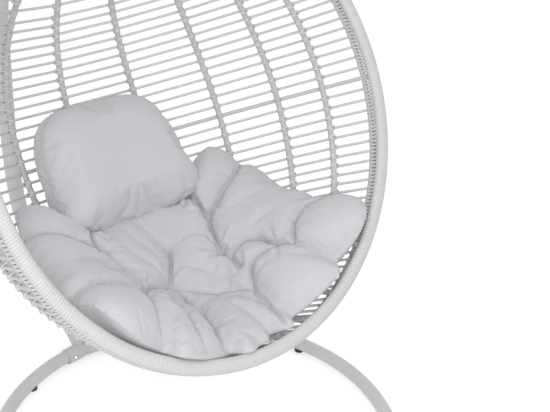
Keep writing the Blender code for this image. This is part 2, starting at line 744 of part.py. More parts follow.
ahead = Vector((0, -1, 0))
for index in range(len(RIB_ANGLES)):
    for side, sign in (("left", -1), ("right", 1)):
        if index == 0 and sign < 0:
            continue
        spine = [Vector((sign * p.x, p.y, p.z)) for p in rib_path(index)]
        ways = [outward_at(p) for p in spine]
        path = [p - n * rib_inset for p, n in zip(spine, ways)]
        path[0].y = rib_end_back
        path[-1].y = rib_end_back
        bm = bmesh.new()
        sweep(bm, path, ways, polygon(6, RIB_RADIUS, start=math.pi / 6), ends=(-ahead, ahead))
        name = "rib_centre" if index == 0 else "rib_" + side + "_" + str(index)
        place(bm, name, WICKER, basket, True)

# Middle hoop: one thicker bar behind the ribs, from rim to rim.
middle_flat = MIDDLE_RADIUS * math.cos(math.pi / 6)
middle_out = middle_flat - ROD_SIZE / 2
last_phi = math.acos(rib_end_back / bowl_reach(MIDDLE_LEVEL))
stops = [math.radians(a) for a in RIB_ANGLES] + [math.acos(HOOP_BACK / bowl_reach(MIDDLE_LEVEL)), last_phi]
phis = [stops[0]]
for a, b in zip(stops, stops[1:]):
    phis += [(a + b) / 2, b] if b - a > math.radians(10) else [b]
phis = [-a for a in phis[:0:-1]] + phis
middle_line = [on_bowl(a, MIDDLE_LEVEL) for a in phis]
path = [shifted(p, middle_out) for p in middle_line]
bm = bmesh.new()
sweep(bm, path, [outward_at(p) for p in middle_line], polygon(6, MIDDLE_RADIUS, start=math.pi / 6),
      ends=(-ahead, ahead))
place(bm, "middle_hoop", WICKER, basket, True)

# Wicker: thin rods, straight from rib to rib, all ending in the edge hoop behind the rim.
hoop_out = HOOP_RADIUS + rib_flat - rib_inset + HOOP_GAP


def rod_levels(sign):
    """Levels of the rods, stepped along the middle of the bowl from the middle hoop."""
    levels = []
    v = MIDDLE_LEVEL
    k = 0
    end = abs(level_where(HOOP_BACK + ROD_PITCH_ENDS, sign > 0))
    while True:
        least = ROD_PITCH_LEAST if sign > 0 else ROD_PITCH_LOW
        pitch = max(least, ROD_PITCH - ROD_PITCH_LOSS * k)
        if v > ROD_ENDS_FROM:
            pitch = ROD_PITCH_ENDS
        walked = 0.0
        spot = on_bowl(0, v)
        while walked < pitch:
            v += sign * 0.0002
            if abs(v) > end:
                return levels
            step = on_bowl(0, v)
            walked += (step - spot).length
            spot = step
        levels.append(v)
        k += 1


def rod_path(v):
    last = math.acos(HOOP_BACK / bowl_reach(v))
    phis = [rib_phi(i, v) for i in range(len(RIB_ANGLES))]
    phis = [a for a in phis if a < last - math.radians(3)]
    line = [on_bowl(a, v) for a in phis]
    line.append(shifted(on_bowl(last, v), hoop_out))
    return [Vector((-p.x, p.y, p.z)) for p in line[:0:-1]] + line


def hoop_line(upper, steps=26):
    sign = 1 if upper else -1
    top = abs(level_where(HOOP_BACK, upper))
    first = math.asin((MIDDLE_LEVEL + sign * (MIDDLE_RADIUS + CLEAR * 2)) / top)
    line = []
    for k in range(steps + 1):
        a = first + (sign * math.pi - 2 * first) * k / steps
        v = top * math.sin(a) * 0.99999
        x = bowl_width(v) * math.sqrt(max(0.0, 1 - (HOOP_BACK / bowl_reach(v)) ** 2))
        line.append(Vector((math.copysign(x, math.cos(a)), HOOP_BACK, v)))
    return line


for name, upper in (("wicker_upper", True), ("wicker_lower", False)):
    line = hoop_line(upper)
    ways = [outward_at(p) for p in line]
    path = [p + n * hoop_out for p, n in zip(line, ways)]
    bm = bmesh.new()
    end = Vector((0, 0, 1 if upper else -1))
    sweep(bm, path, ways, polygon(6, HOOP_RADIUS), ends=(end, -end))
    wicker = place(bm, name, WICKER, basket, True)
    bm = bmesh.new()
    square = polygon(4, ROD_SIZE / math.sqrt(2), start=math.pi / 4)
    for v in rod_levels(1 if upper else -1):
        path = rod_path(v)
        sweep(bm, path, [outward_at(p) for p in path], square)
    boolean(wicker, place(bm, name + "_rods", None, basket, True), "UNION")

# Seat cushion: a quilted round pad pressed into the bowl.
# Sewn tufts and the creases between its lobes draw its face in. Their spots are in degrees
# from straight down, to the right and to the back.
to_local = Matrix.Rotation(lean, 3, "X")
pad_eye = to_local @ Vector((0, PAD_CENTRE_BACK, -PAD_CENTRE_DOWN))
TUFTS = ((29.0, 16.7), (22.4, -1.6), (15.1, -14.6), (-1.6, 2.5), (28.0, 30.0), (36.0, -17.5),
         (-29.0, 16.7), (-28.0, 30.0), (-36.0, -17.5), (-19.0, -3.0))
CREASES = (
    ((29.0, 16.7), (20.4, 2.1), (22.4, -1.6)),
    ((22.4, -1.6), (29.4, -5.7), (36.0, -17.5)),
    ((36.0, -17.5), (45.9, -14.0), (62.0, -17.0)),
    ((36.0, -17.5), (35.4, -31.0), (36.0, -42.0)),
    ((36.0, -17.5), (25.6, -13.6), (15.1, -14.6)),
    ((15.1, -14.6), (12.9, -26.5), (7.0, -36.0)),
    ((-1.6, 2.5), (-3.0, -15.2), (-5.0, -36.0)),
    ((29.0, 16.7), (38.0, 20.2), (62.0, 28.0)),
    ((28.0, 30.0), (29.0, 16.7)),
    ((15.1, -14.6), (-1.6, 2.5)),
    ((-29.0, 16.7), (-38.0, 20.2), (-62.0, 28.0)),
    ((-29.0, 16.7), (-19.0, -3.0), (-36.0, -17.5)),
    ((-36.0, -17.5), (-45.9, -14.0), (-62.0, -17.0)),
    ((-36.0, -17.5), (-35.4, -31.0), (-36.0, -42.0)),
    ((-19.0, -3.0), (-1.6, 2.5)),
    ((-28.0, 30.0), (-29.0, 16.7)),
)


def inside_bowl(point):
    if abs(point.z) >= bowl_half_height:
        return False
    return (point.x / bowl_width(point.z)) ** 2 + (point.y / bowl_reach(point.z)) ** 2 < 1


def bowl_hit(way):
    low, high = 0.0, 2 * RIM_RADIUS
    for _ in range(40):
        middle = (low + high) / 2
        if inside_bowl(pad_eye + way * middle):
            low = middle
        else:
            high = middle
    return pad_eye + way * low


def smooth(t):
    t = min(1.0, max(0.0, t))
    return t * t * (3 - 2 * t)


def bell(distance, width):
    return math.exp(-(distance / width) ** 2)


def pad_limit(beta):
    """How far the pad climbs the bowl in degrees from straight down. Beta runs from front to back."""
    b = abs(beta)
    limit = 39 - 1.5 * smooth((b - 12) / 8) + 25 * smooth((b - 18) / 42) - 8 * bell(b - 45, 5)
    limit -= 3.5 * smooth((b - 60) / 14) + 6 * bell(b - 92, 17)
    limit -= 26 * smooth((b - 128) / 16) - 2 * bell(b - 128, 9)
    return limit - sum(2.0 * bell(b - c, 4.0) for c in (6, 18, 76, 115))


def beside(spot, a, b):
    """How far a spot lies from the stretch between two others."""
    way = b - a
    share = min(1.0, max(0.0, (spot - a).dot(way) / way.length_squared))
    return (spot - a - way * share).length


def pad_edge(beta):
    """Height of the edge's seam over the bowl. At the front the pad thins towards the rim."""
    return PAD_EDGE / 2 * (0.35 + 0.65 * smooth((abs(beta) - 10) / 25))


def pad_height(share, beta):
    """Height of the pad's face over the bowl at a share of the way to its edge."""
    climb = pad_limit(beta) * share
    spot = Vector((climb * math.sin(math.radians(beta)), -climb * math.cos(math.radians(beta))))
    crown = math.sqrt(max(0.0, 1 - share ** PAD_CROWN))
    tuft = min((spot - Vector(t)).length for t in TUFTS)
    crease = min(beside(spot, Vector(a), Vector(b)) for line in CREASES for a, b in zip(line, line[1:]))
    dip = max(CREASE_DEPTH * bell(crease, CREASE_WIDTH), TUFT_DEPTH * bell(tuft, CREASE_WIDTH))
    edge = pad_edge(beta)
    return edge + (PAD_THICK - edge) * crown * (1 - dip)


def pad_point(share, beta, face):
    climb = math.radians(pad_limit(beta)) * share
    b = math.radians(beta)
    way = Vector((math.sin(climb) * math.sin(b), -math.sin(climb) * math.cos(b), -math.cos(climb)))
    spot = bowl_hit(to_local @ way)
    base = shifted(spot, -rib_face - PAD_GAP)
    height = pad_height(share, beta) if face else pad_edge(beta) * share ** 9
    return base + (pad_eye - base).normalized() * height


PAD_ROUND = 48
face_shares = [0.16, 0.30, 0.42, 0.52, 0.60, 0.68, 0.76, 0.84, 0.91, 0.96, 0.99, 1.0]
back_shares = [0.97, 0.86, 0.68, 0.48, 0.25]
bm = bmesh.new()
rows = [[bm.verts.new(pad_point(0.0, 0.0, True))]]
for face, shares in ((True, face_shares), (False, back_shares)):
    for share in shares:
        turns = [360.0 * k / PAD_ROUND - 180 for k in range(PAD_ROUND)]
        rows.append([bm.verts.new(pad_point(share, turn, face)) for turn in turns])
rows.append([bm.verts.new(pad_point(0.0, 0.0, False))])
skin_rows(bm, rows, PAD_ROUND)
place(bm, "seat_cushion", FABRIC, basket, True, 180.0)

# Back cushion: a loose pillow with a full middle and drawn-in sides that leans on the ribs.
PILLOW_ROUND = 28
PILLOW_ROWS = 12


def behind_pillow(x, v):
    """How far back the ribs let the pillow lie."""
    spot = on_bowl(math.asin(x / bowl_width(v)), v)
    return spot.y - (rib_face + PILLOW_GAP) / outward_at(spot).y


bm = bmesh.new()
rows = []
for k in range(PILLOW_ROWS + 1):
    a = -math.pi / 2 + math.pi * k / PILLOW_ROWS
    out = math.cos(a) ** 0.75 if 0 < k < PILLOW_ROWS else 0.0
    full = math.copysign(abs(math.sin(a)) ** 0.8, a) * PILLOW_THICK / 2
    ring = []
    for j in range(PILLOW_ROUND if out else 1):
        b = 2 * math.pi * j / PILLOW_ROUND
        x = math.copysign(abs(math.cos(b)) ** 0.85, math.cos(b)) * PILLOW_WIDTH / 2
        z = math.copysign(abs(math.sin(b)) ** 0.85, math.sin(b)) * PILLOW_HEIGHT / 2
        drawn = out * (1 - 0.05 * math.cos(2 * b) ** 2)
        x *= 1 - PILLOW_TAPER * math.sin(b)
        level = PILLOW_LEVEL + z * drawn
        back = behind_pillow(x * drawn, level)
        ring.append(bm.verts.new((x * drawn, back - PILLOW_THICK / 2 - full, level)))
    rows.append(ring)
skin_rows(bm, rows, PILLOW_ROUND)
place(bm, "back_cushion", FABRIC, basket, True, 180.0)
bpy.context.view_layer.update()
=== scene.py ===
import math

import bmesh
import bpy
from mathutils import Matrix, Vector


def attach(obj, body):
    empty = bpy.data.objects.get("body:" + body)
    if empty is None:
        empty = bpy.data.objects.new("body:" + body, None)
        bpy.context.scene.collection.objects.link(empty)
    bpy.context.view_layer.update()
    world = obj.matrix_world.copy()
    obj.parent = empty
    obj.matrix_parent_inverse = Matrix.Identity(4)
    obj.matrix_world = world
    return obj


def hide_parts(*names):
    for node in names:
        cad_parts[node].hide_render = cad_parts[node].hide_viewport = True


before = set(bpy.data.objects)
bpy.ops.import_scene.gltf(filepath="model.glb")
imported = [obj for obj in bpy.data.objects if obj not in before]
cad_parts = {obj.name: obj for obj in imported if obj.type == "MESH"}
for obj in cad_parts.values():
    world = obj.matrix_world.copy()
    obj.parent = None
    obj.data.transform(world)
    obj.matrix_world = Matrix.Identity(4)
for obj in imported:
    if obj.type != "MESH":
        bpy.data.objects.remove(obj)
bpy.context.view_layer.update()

# Floor ring: two half tubes of steel, bent round and coated white, which meet at the front
# over a hidden joiner and at the back in the pole's socket. Each half is bolted at both ends.
RING_CENTRE = Vector((0.0, -0.17624, 0.0235))
RING_RADIUS = 0.487
RING_TUBE = 0.0175
RING_STOP = 0.012
RING_JOINT = 0.0004
RING_STEPS = 90
BAR_SHARP = math.radians(40)
CLOUD_SHARE = 0.05
WHITE_COAT = (0.63, 0.64, 0.642)


def placed(name, data):
    piece = bpy.data.objects.new(name, data)
    bpy.context.scene.collection.objects.link(piece)
    return piece


def shown_for(piece, body, node):
    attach(piece, body)
    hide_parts(node)


def made_plain(piece):
    """Leaves what the piece's modifiers make of it as its own plain mesh."""
    graph = bpy.context.evaluated_depsgraph_get()
    mesh = bpy.data.meshes.new_from_object(piece.evaluated_get(graph), depsgraph=graph)
    mesh.name = piece.name
    piece.modifiers.clear()
    piece.data = mesh
    return piece


def line_mesh(name, lines, closed=False):
    """A mesh of bare edges along one or more lines of points."""
    points = []
    edges = []
    for line in lines:
        first = len(points)
        points += [tuple(p) for p in line]
        edges += [(k, k + 1) for k in range(first, len(points) - 1)]
        if closed:
            edges.append((len(points) - 1, first))
    mesh = bpy.data.meshes.new(name)
    mesh.from_pydata(points, edges, [])
    return placed(name, mesh)


def new_tree(name, sockets):
    tree = bpy.data.node_groups.new(name, "GeometryNodeTree")
    tree.interface.new_socket("Geometry", in_out="INPUT", socket_type="NodeSocketGeometry")
    for label, kind in sockets:
        tree.interface.new_socket(label, in_out="INPUT", socket_type="NodeSocket" + kind)
    tree.interface.new_socket("Geometry", in_out="OUTPUT", socket_type="NodeSocketGeometry")
    return tree, tree.nodes.new("NodeGroupInput").outputs


def add(tree, kind, given=None, **settings):
    """A node with its settings. Each input is given a fixed value or what another node puts out."""
    node = tree.nodes.new(kind)
    for key, value in settings.items():
        setattr(node, key, value)
    for key, value in (given or {}).items():
        if isinstance(value, bpy.types.NodeSocket):
            tree.links.new(value, node.inputs[key])
        else:
            node.inputs[key].default_value = value
    return node


def calc(tree, operation, *terms):
    return add(tree, "ShaderNodeMath", dict(enumerate(terms)), operation=operation).outputs[0]


def swept(tree, curve, section, capped=True):
    given = {"Curve": curve, "Profile Curve": section, "Fill Caps": capped}
    return add(tree, "GeometryNodeCurveToMesh", given).outputs["Mesh"]


def close_tree(tree, geometry, finish):
    """Every tree ends in smooth faces, plain geometry and the finish."""
    smooth_faces = add(tree, "GeometryNodeSetShadeSmooth", {"Geometry": geometry})
    real = add(tree, "GeometryNodeRealizeInstances", {"Geometry": smooth_faces.outputs["Geometry"]})
    paint = add(tree, "GeometryNodeSetMaterial", {"Geometry": real.outputs["Geometry"], "Material": finish})
    add(tree, "NodeGroupOutput", {"Geometry": paint.outputs["Geometry"]})


def run_tree(source, tree, values):
    """Runs a tree on a piece and leaves the result as the piece's own plain mesh."""
    modifier = source.modifiers.new("making", "NODES")
    modifier.node_group = tree
    for item in tree.interface.items_tree:
        if item.in_out == "INPUT" and item.name in values:
            modifier[item.identifier] = values[item.name]
    return made_plain(source)


bar_tree, bar_in = new_tree(
    "round_bar", [("Radius", "Float"), ("Sides", "Int"), ("Step", "Float"), ("Finish", "Material")])
bar_line = add(bar_tree, "GeometryNodeMeshToCurve", {"Mesh": bar_in["Geometry"]})
bar_even = add(bar_tree, "GeometryNodeResampleCurve",
               {"Curve": bar_line.outputs["Curve"], "Length": bar_in["Step"]}, mode="LENGTH")
bar_round = add(bar_tree, "GeometryNodeCurvePrimitiveCircle",
                {"Resolution": bar_in["Sides"], "Radius": bar_in["Radius"]}, mode="RADIUS")
bar_skin = swept(bar_tree, bar_even.outputs["Curve"], bar_round.outputs["Curve"])
close_tree(bar_tree, bar_skin, bar_in["Finish"])


def round_bar(name, lines, radius, finish, sides=24, step=0.01, closed=False):
    source = line_mesh(name, lines, closed)
    run_tree(source, bar_tree, {"Radius": radius, "Sides": sides, "Step": step, "Finish": finish})
    source.data.set_sharp_from_angle(angle=BAR_SHARP)
    return source


def plain_finish(name, colour, roughness, metallic=0.0):
    material = bpy.data.materials.new(name)
    material.use_nodes = True
    shader = material.node_tree.nodes["Principled BSDF"]
    shader.inputs["Base Color"].default_value = (*colour, 1.0)
    shader.inputs["Roughness"].default_value = roughness
    shader.inputs["Metallic"].default_value = metallic
    return material, material.node_tree, shader


def coated(name, colour, roughness, spread, scale, bump, distance, gloss, metallic=0.0):
    """A finish with slight changes of tone and a fine uneven surface, on the piece's own coordinates."""
    material, tree, shader = plain_finish(name, colour, roughness, metallic)
    where = add(tree, "ShaderNodeTexCoord").outputs["Object"]
    cloud = add(tree, "ShaderNodeTexNoise", {"Vector": where, "Scale": scale * CLOUD_SHARE, "Detail": 3.0})
    dark = tuple(c * (1 - spread) for c in colour)
    tone = add(tree, "ShaderNodeMix", {0: cloud.outputs[0], "A": (*dark, 1.0), "B": (*colour, 1.0)},
               data_type="RGBA")
    grain = add(tree, "ShaderNodeTexNoise", {"Vector": where, "Scale": scale, "Detail": 2.0})
    rough = add(tree, "ShaderNodeBump", {"Height": grain.outputs[0], "Strength": bump, "Distance": distance})
    spot = add(tree, "ShaderNodeMapRange",
               {"Value": cloud.outputs[0], "To Min": gloss[0], "To Max": gloss[1]})
    tree.links.new(tone.outputs["Result"], shader.inputs["Base Color"])
    tree.links.new(rough.outputs["Normal"], shader.inputs["Normal"])
    tree.links.new(spot.outputs["Result"], shader.inputs["Roughness"])
    return material


powder_coat = coated("white_powder_coat", WHITE_COAT, roughness=0.42, spread=0.03, scale=900.0,
                     bump=0.12, distance=0.0004, gloss=(0.38, 0.48))


def on_ring(angle):
    """A point of the ring's middle line; the angle runs from the front, positive to the right."""
    return RING_CENTRE + Vector((math.sin(angle), -math.cos(angle), 0)) * RING_RADIUS


ring_end = math.pi - RING_STOP / RING_RADIUS
for side, sign in (("left", -1), ("right", 1)):
    arc = []
    for k in range(RING_STEPS + 1):
        arc.append(on_ring(sign * (RING_JOINT + (ring_end - RING_JOINT) * k / RING_STEPS)))
    half = round_bar("floor_ring_" + side, [arc], RING_TUBE, powder_coat, 32)
    shown_for(half, "stand", "base_ring_" + side)

# Pole: steel tube in two bent lengths with a spigot inside their joint, coated white like the ring.
# Its foot stands in the socket at the ring's back and its end lies over the bowl.
POLE_RADIUS = 0.0225
POLE_RISE = math.radians(38)
POLE_STRAIGHT = 0.15
POLE_START = 0.023
POLE_BACK = 0.6584
POLE_WAIST = 0.80
POLE_TIP = 0.04
POLE_TOP = 1.70
POLE_ROUND = 0.5523
POLE_SWEEP = 0.45
POLE_JOINT = 0.0008


def bezier(a, b, c, d, t):
    s = 1 - t
    return a * s ** 3 + b * (3 * s * s * t) + c * (3 * s * t * t) + d * t ** 3


foot_way = Vector((0, math.cos(POLE_RISE), math.sin(POLE_RISE)))
ring_back = on_ring(math.pi)
bend_low = ring_back + foot_way * POLE_STRAIGHT
bend_mid = Vector((0, POLE_BACK, POLE_WAIST))
bend_high = Vector((0, POLE_TIP, POLE_TOP))
drop = bend_mid.z - bend_low.z
rise = bend_high.z - bend_mid.z
over = bend_mid.y - bend_high.y
lower_bend = (bend_low, bend_low + foot_way * drop * POLE_SWEEP,
              bend_mid - Vector((0, 0, drop * POLE_ROUND)), bend_mid)
upper_bend = (bend_mid, bend_mid + Vector((0, 0, rise * POLE_ROUND)),
              bend_high + Vector((0, over * POLE_ROUND, 0)), bend_high)
lower_line = [ring_back + foot_way * POLE_START] + [bezier(*lower_bend, k / 60) for k in range(61)]
upper_line = [bezier(*upper_bend, k / 80) for k in range(81)] + [Vector((0, -POLE_TIP, POLE_TOP))]
upper_line[0] = upper_line[0] + Vector((0, 0, POLE_JOINT))
for name, line in (("lower_pole", lower_line), ("upper_pole", upper_line)):
    pole = round_bar(name + "_tube", [line], POLE_RADIUS, powder_coat, 40)
    shown_for(pole, "stand", name)

# Socket, joiner and spigot: welded steel, coated white where it shows.
# They keep their shop shapes and only get the coat.


def painted(names, finish):
    for name in names:
        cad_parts[name].data.materials.clear()
        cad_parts[name].data.materials.append(finish)


painted(("pole_socket", "base_joiner", "pole_spigot"), powder_coat)

# Feet: black moulded plastic cups under the ring, pressed on to its tube.
# They keep their shop shapes and keep the steel off the floor.
BLACK_PLASTIC = (0.025, 0.025, 0.027)
black_plastic = coated("black_plastic", BLACK_PLASTIC, roughness=0.55, spread=0.25, scale=1400.0,
                       bump=0.25, distance=0.0003, gloss=(0.45, 0.65))
painted([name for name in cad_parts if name.startswith("foot_")], black_plastic)

# Bolts and hanger: zinc-plated steel. An eye bolt holds a shackle, a swivel and a snap hook
# with a sprung gate, which takes the loop on top of the rim.
ZINC = (0.62, 0.63, 0.64)
zinc_plate = coated("zinc_plate", ZINC, roughness=0.32, spread=0.12, scale=700.0,
                    bump=0.08, distance=0.0002, gloss=(0.26, 0.40), metallic=1.0)
painted([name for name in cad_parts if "bolt" in name], zinc_plate)

UP = Vector((0, 0, 1))
RIGHT = Vector((1, 0, 0))
BACK = Vector((0, 1, 0))
EYE_HEIGHT = 1.63076
EYE_RADIUS = 0.013
EYE_WIRE = 0.0045
PIN_HEIGHT = 1.62756
PIN_RADIUS = 0.005
BOW_RADIUS = 0.016
BOW_LOW = 1.58956
BOW_WIRE = 0.0045
EAR_HALF = 0.0042
UPPER_RING = 1.58536
LOWER_RING = 1.52236
SWIVEL_RING = 0.013
RING_WIRE = 0.004
HOUSING_LOW = 1.54536
HOUSING_RADIUS = 0.014
SNAP_LOW = 1.41366
SNAP_HIGH = 1.51866
SNAP_HALF = 0.019
SNAP_WIRE = 0.005
GATE_LOW = 1.43886
GATE_HIGH = 1.48716
GATE_RADIUS = 0.004
LOOP_TOP = 1.42346
LOOP_FOOT = 1.36146
LOOP_HALF = 0.022
LOOP_WIRE = 0.0045
SLIGHT_GAP = 0.0003
NUT_PROFILE = ((0, 0.0003), (0.0098, 0.0003), (0.0105, 0.0010), (0.0105, 0.0082), (0.0098, 0.0090),
               (0, 0.0090))
NUT_DOME = 0.0086
NUT_DOME_RISE = 0.0072
NUT_DOME_FOOT = 0.0088
SHANK_OVER = 0.010
EAR_RADIUS = 0.0095
BOW_OVER = 0.004
PIN_HEAD = 0.008
GATE_EAR = 0.0061
LATHE_SHARP = math.radians(35)


def closed_form(name, rows):
    """A mesh over rings of points, with a single point where it closes."""
    bm = bmesh.new()
    rings = [[bm.verts.new(p) for p in row] for row in rows]
    for a, b in zip(rings, rings[1:]):
        for k in range(max(len(a), len(b))):
            corners = (a[k % len(a)], a[(k + 1) % len(a)], b[(k + 1) % len(b)], b[k % len(b)])
            bm.faces.new(list(dict.fromkeys(corners)))
    bmesh.ops.recalc_face_normals(bm, faces=bm.faces)
    mesh = bpy.data.meshes.new(name)
    bm.to_mesh(mesh)
    bm.free()
    return placed(name, mesh)


def bent(centre, first, second, radius, turn, steps):
    """Points of an arc that starts on one side of its centre and goes round by a second side."""
    angles = [turn * k / steps for k in range(steps + 1)]
    return [centre + (first * math.cos(a) + second * math.sin(a)) * radius for a in angles]


def circle(centre, way, radius, count):
    first = way.orthogonal().normalized()
    return bent(centre, first, way.cross(first), radius, 2 * math.pi, count)[:-1]


def lathe(name, profile, spot, way, sides=40, finish=zinc_plate):
    """A turned piece; the profile is (radius, height) from axis to axis."""
    rows = []
    for radius, height in profile:
        rows.append(circle(spot + way * height, way, radius, sides if radius > 0 else 1))
    piece = closed_form(name, rows)
    piece.data.shade_smooth()
    piece.data.set_sharp_from_angle(angle=LATHE_SHARP)
    piece.data.materials.append(finish)
    return piece


def hoop_of(name, height, radius, wire, normal):
    return round_bar(name, [circle(UP * height, normal, radius, 48)], wire, zinc_plate, 20, 0.0015, True)


def merged(pieces):
    """One piece from several of the same body."""
    bm = bmesh.new()
    for piece in pieces:
        bm.from_mesh(piece.data)
    bm.to_mesh(pieces[0].data)
    bm.free()
    for piece in pieces[1:]:
        bpy.data.objects.remove(piece)
    return pieces[0]


def rod_profile(radius, start, end, round_off=0.0008):
    return [(0, start), (radius - round_off, start), (radius, start + round_off),
            (radius, end - round_off), (radius - round_off, end), (0, end)]


nut_seat = POLE_TOP + POLE_RADIUS
eye_ring = hoop_of("eye_ring", EYE_HEIGHT, EYE_RADIUS, EYE_WIRE, RIGHT)
shank_profile = rod_profile(PIN_RADIUS, EYE_HEIGHT + EYE_RADIUS, nut_seat + SHANK_OVER)
eye_shank = lathe("eye_shank", shank_profile, UP * 0, UP)
shown_for(merged([eye_ring, eye_shank]), "stand", "hanger_eye")

dome_profile = [(0, 0.0085)]
for t in range(0, 90, 10):
    a = math.radians(t)
    dome_profile.append((NUT_DOME * math.cos(a), NUT_DOME_FOOT + NUT_DOME_RISE * math.sin(a)))
dome_profile.append((0, NUT_DOME_FOOT + NUT_DOME_RISE))
nut_base = lathe("cap_nut", NUT_PROFILE, UP * nut_seat, UP, 6)
nut_dome = lathe("cap_dome", dome_profile, UP * nut_seat, UP)
shown_for(merged([nut_base, nut_dome]), "stand", "hanger_nut")

bow_end = UP * (PIN_HEIGHT + BOW_OVER)
bow_line = bent(UP * (BOW_LOW + BOW_RADIUS), -RIGHT, -UP, BOW_RADIUS, math.pi, 24)
bow_line = [bow_end - RIGHT * BOW_RADIUS] + bow_line + [bow_end + RIGHT * BOW_RADIUS]
shackle = [round_bar("shackle_bow", [bow_line], BOW_WIRE, zinc_plate, 20, 0.002)]
for sign in (-1, 1):
    shackle.append(lathe("shackle_ear", rod_profile(EAR_RADIUS, -EAR_HALF, EAR_HALF, 0.0012),
                         Vector((sign * BOW_RADIUS, 0, PIN_HEIGHT)), RIGHT))
shown_for(merged(shackle), "hanger", "shackle")
pin_reach = BOW_RADIUS + EAR_HALF
pin_profile = [(0, -pin_reach - 0.006), (PIN_HEAD - 0.0008, -pin_reach - 0.006),
               (PIN_HEAD, -pin_reach - 0.0052), (PIN_HEAD, -pin_reach - SLIGHT_GAP),
               (PIN_RADIUS, -pin_reach - SLIGHT_GAP), (PIN_RADIUS, pin_reach + 0.003),
               (PIN_RADIUS - 0.001, pin_reach + 0.004), (0, pin_reach + 0.004)]
pin = lathe("cross_pin", pin_profile, UP * PIN_HEIGHT, RIGHT)
shown_for(pin, "hanger", "shackle_pin")

housing_profile = [(0.0056, 0), (HOUSING_RADIUS - 0.002, 0), (HOUSING_RADIUS - 0.0005, 0.001),
                   (HOUSING_RADIUS, 0.003), (HOUSING_RADIUS, 0.019), (HOUSING_RADIUS - 0.001, 0.022),
                   (HOUSING_RADIUS - 0.003, 0.0255), (HOUSING_RADIUS - 0.006, 0.0275), (0, 0.028)]
housing = lathe("swivel_drum", housing_profile, UP * HOUSING_LOW, UP)
housing_ring = hoop_of("swivel_top_ring", UPPER_RING, SWIVEL_RING, RING_WIRE, RIGHT)
shown_for(merged([housing, housing_ring]), "swivel_top", "swivel_housing")
stem_profile = rod_profile(PIN_RADIUS, LOWER_RING + SWIVEL_RING - 0.002, HOUSING_LOW + 0.006)
stem = lathe("swivel_post", stem_profile, UP * 0, UP)
stem_ring = hoop_of("swivel_low_ring", LOWER_RING, SWIVEL_RING, RING_WIRE, BACK)
shown_for(merged([stem, stem_ring]), "basket", "swivel_stem")

snap_front = BACK * -SNAP_HALF
gate_foot = snap_front + UP * GATE_LOW
snap_line = [gate_foot - UP * (SNAP_WIRE + SLIGHT_GAP)]
snap_line += bent(UP * (SNAP_LOW + SNAP_HALF), -BACK, -UP, SNAP_HALF, math.pi, 20)
snap_line += bent(UP * (SNAP_HIGH - SNAP_HALF), BACK, UP, SNAP_HALF, math.pi, 20)
snap_line.append(snap_front + UP * (GATE_HIGH + SLIGHT_GAP))
snap = [round_bar("snap_link", [snap_line], SNAP_WIRE, zinc_plate, 20, 0.002)]
for sign in (-1, 1):
    leg = [gate_foot + RIGHT * sign * 0.0052, gate_foot + RIGHT * sign * 0.0040 - UP * 0.010]
    snap.append(lathe("snap_ear", rod_profile(0.0036, 0.0043, GATE_EAR, 0.0004), gate_foot, RIGHT * sign))
    snap.append(round_bar("snap_ear_leg", [leg], 0.0018, zinc_plate, 12, 0.002))
shown_for(merged(snap), "basket", "snap_hook")
gate_profile = rod_profile(GATE_RADIUS, GATE_LOW - 0.003, GATE_HIGH - SLIGHT_GAP)
gate = lathe("spring_gate", gate_profile, snap_front, UP)
shown_for(gate, "gate", "snap_gate")
gate_pin = lathe("gate_rivet", rod_profile(0.0015, -GATE_EAR, GATE_EAR, 0.0003), gate_foot, RIGHT, 20)
shown_for(gate_pin, "basket", "gate_pin")

loop_line = bent(UP * (LOOP_TOP - LOOP_HALF), -RIGHT, UP, LOOP_HALF, math.pi, 24)
loop_line = [UP * LOOP_FOOT - RIGHT * LOOP_HALF] + loop_line + [UP * LOOP_FOOT + RIGHT * LOOP_HALF]
loop = round_bar("rim_loop", [loop_line], LOOP_WIRE, powder_coat, 20, 0.002)
shown_for(loop, "basket", "hanging_loop")

# End cap: a black plastic plug with a domed flange, pressed into the pole's open end.
# Its plug is hidden in the tube, so only the flange is drawn.
CAP_PROFILE = ((0, 0.0003), (POLE_RADIUS - 0.0006, 0.0003), (POLE_RADIUS, 0.0009), (POLE_RADIUS, 0.0026),
               (POLE_RADIUS - 0.0012, 0.0040), (POLE_RADIUS * 0.8, 0.0058), (POLE_RADIUS * 0.4, 0.0068),
               (0, 0.0070))
end_cap = lathe("domed_end_cap", CAP_PROFILE, Vector((0, -POLE_TIP, POLE_TOP)), -BACK, finish=black_plastic)
shown_for(end_cap, "stand", "pole_end_cap")

# Rim: a round steel frame of oval section, wound all the way round with flat white strand.
# It leans back, and the bowl hangs on its rear face.
RIM_RADIUS = 0.55
RIM_BAND = 0.033
RIM_THICK = 0.026
RIM_HEIGHT = 0.876
LEAN = math.radians(24.5)
RIM_TURNS = 520
STRAND_WIDTH = 0.0068
STRAND_THICK = 0.0014
RIM_STRAND_WIDTH = 0.0084
STRAND = (0.68, 0.69, 0.688)
# The rim's strand is the same white strand, painted darker: painted shade that tones down the light falling
# on the rim.
RIM_STRAND_SHADED = (0.60, 0.61, 0.608)
RIM_STEPS = 280
rim_middle = RIM_RADIUS - RIM_BAND / 2
rim_place = Matrix.Translation((0, -rim_middle * math.sin(LEAN), RIM_HEIGHT)) @ Matrix.Rotation(-LEAN, 4, "X")


def vector_calc(tree, operation, *terms):
    """One step with vectors; the second term of a scaling is a number."""
    places = (0, "Scale") if operation == "SCALE" else (0, 1)
    return add(tree, "ShaderNodeVectorMath", dict(zip(places, terms)), operation=operation).outputs[0]


def oval(tree, points, radius, x, y):
    """A closed curve, round at first and then stretched by x and y."""
    ring = add(tree, "GeometryNodeCurvePrimitiveCircle", {"Resolution": points, "Radius": radius},
               mode="RADIUS")
    size = add(tree, "ShaderNodeCombineXYZ", {"X": x, "Y": y, "Z": 1.0})
    given = {"Geometry": ring.outputs["Curve"], "Scale": size.outputs[0]}
    return add(tree, "GeometryNodeTransform", given).outputs["Geometry"]


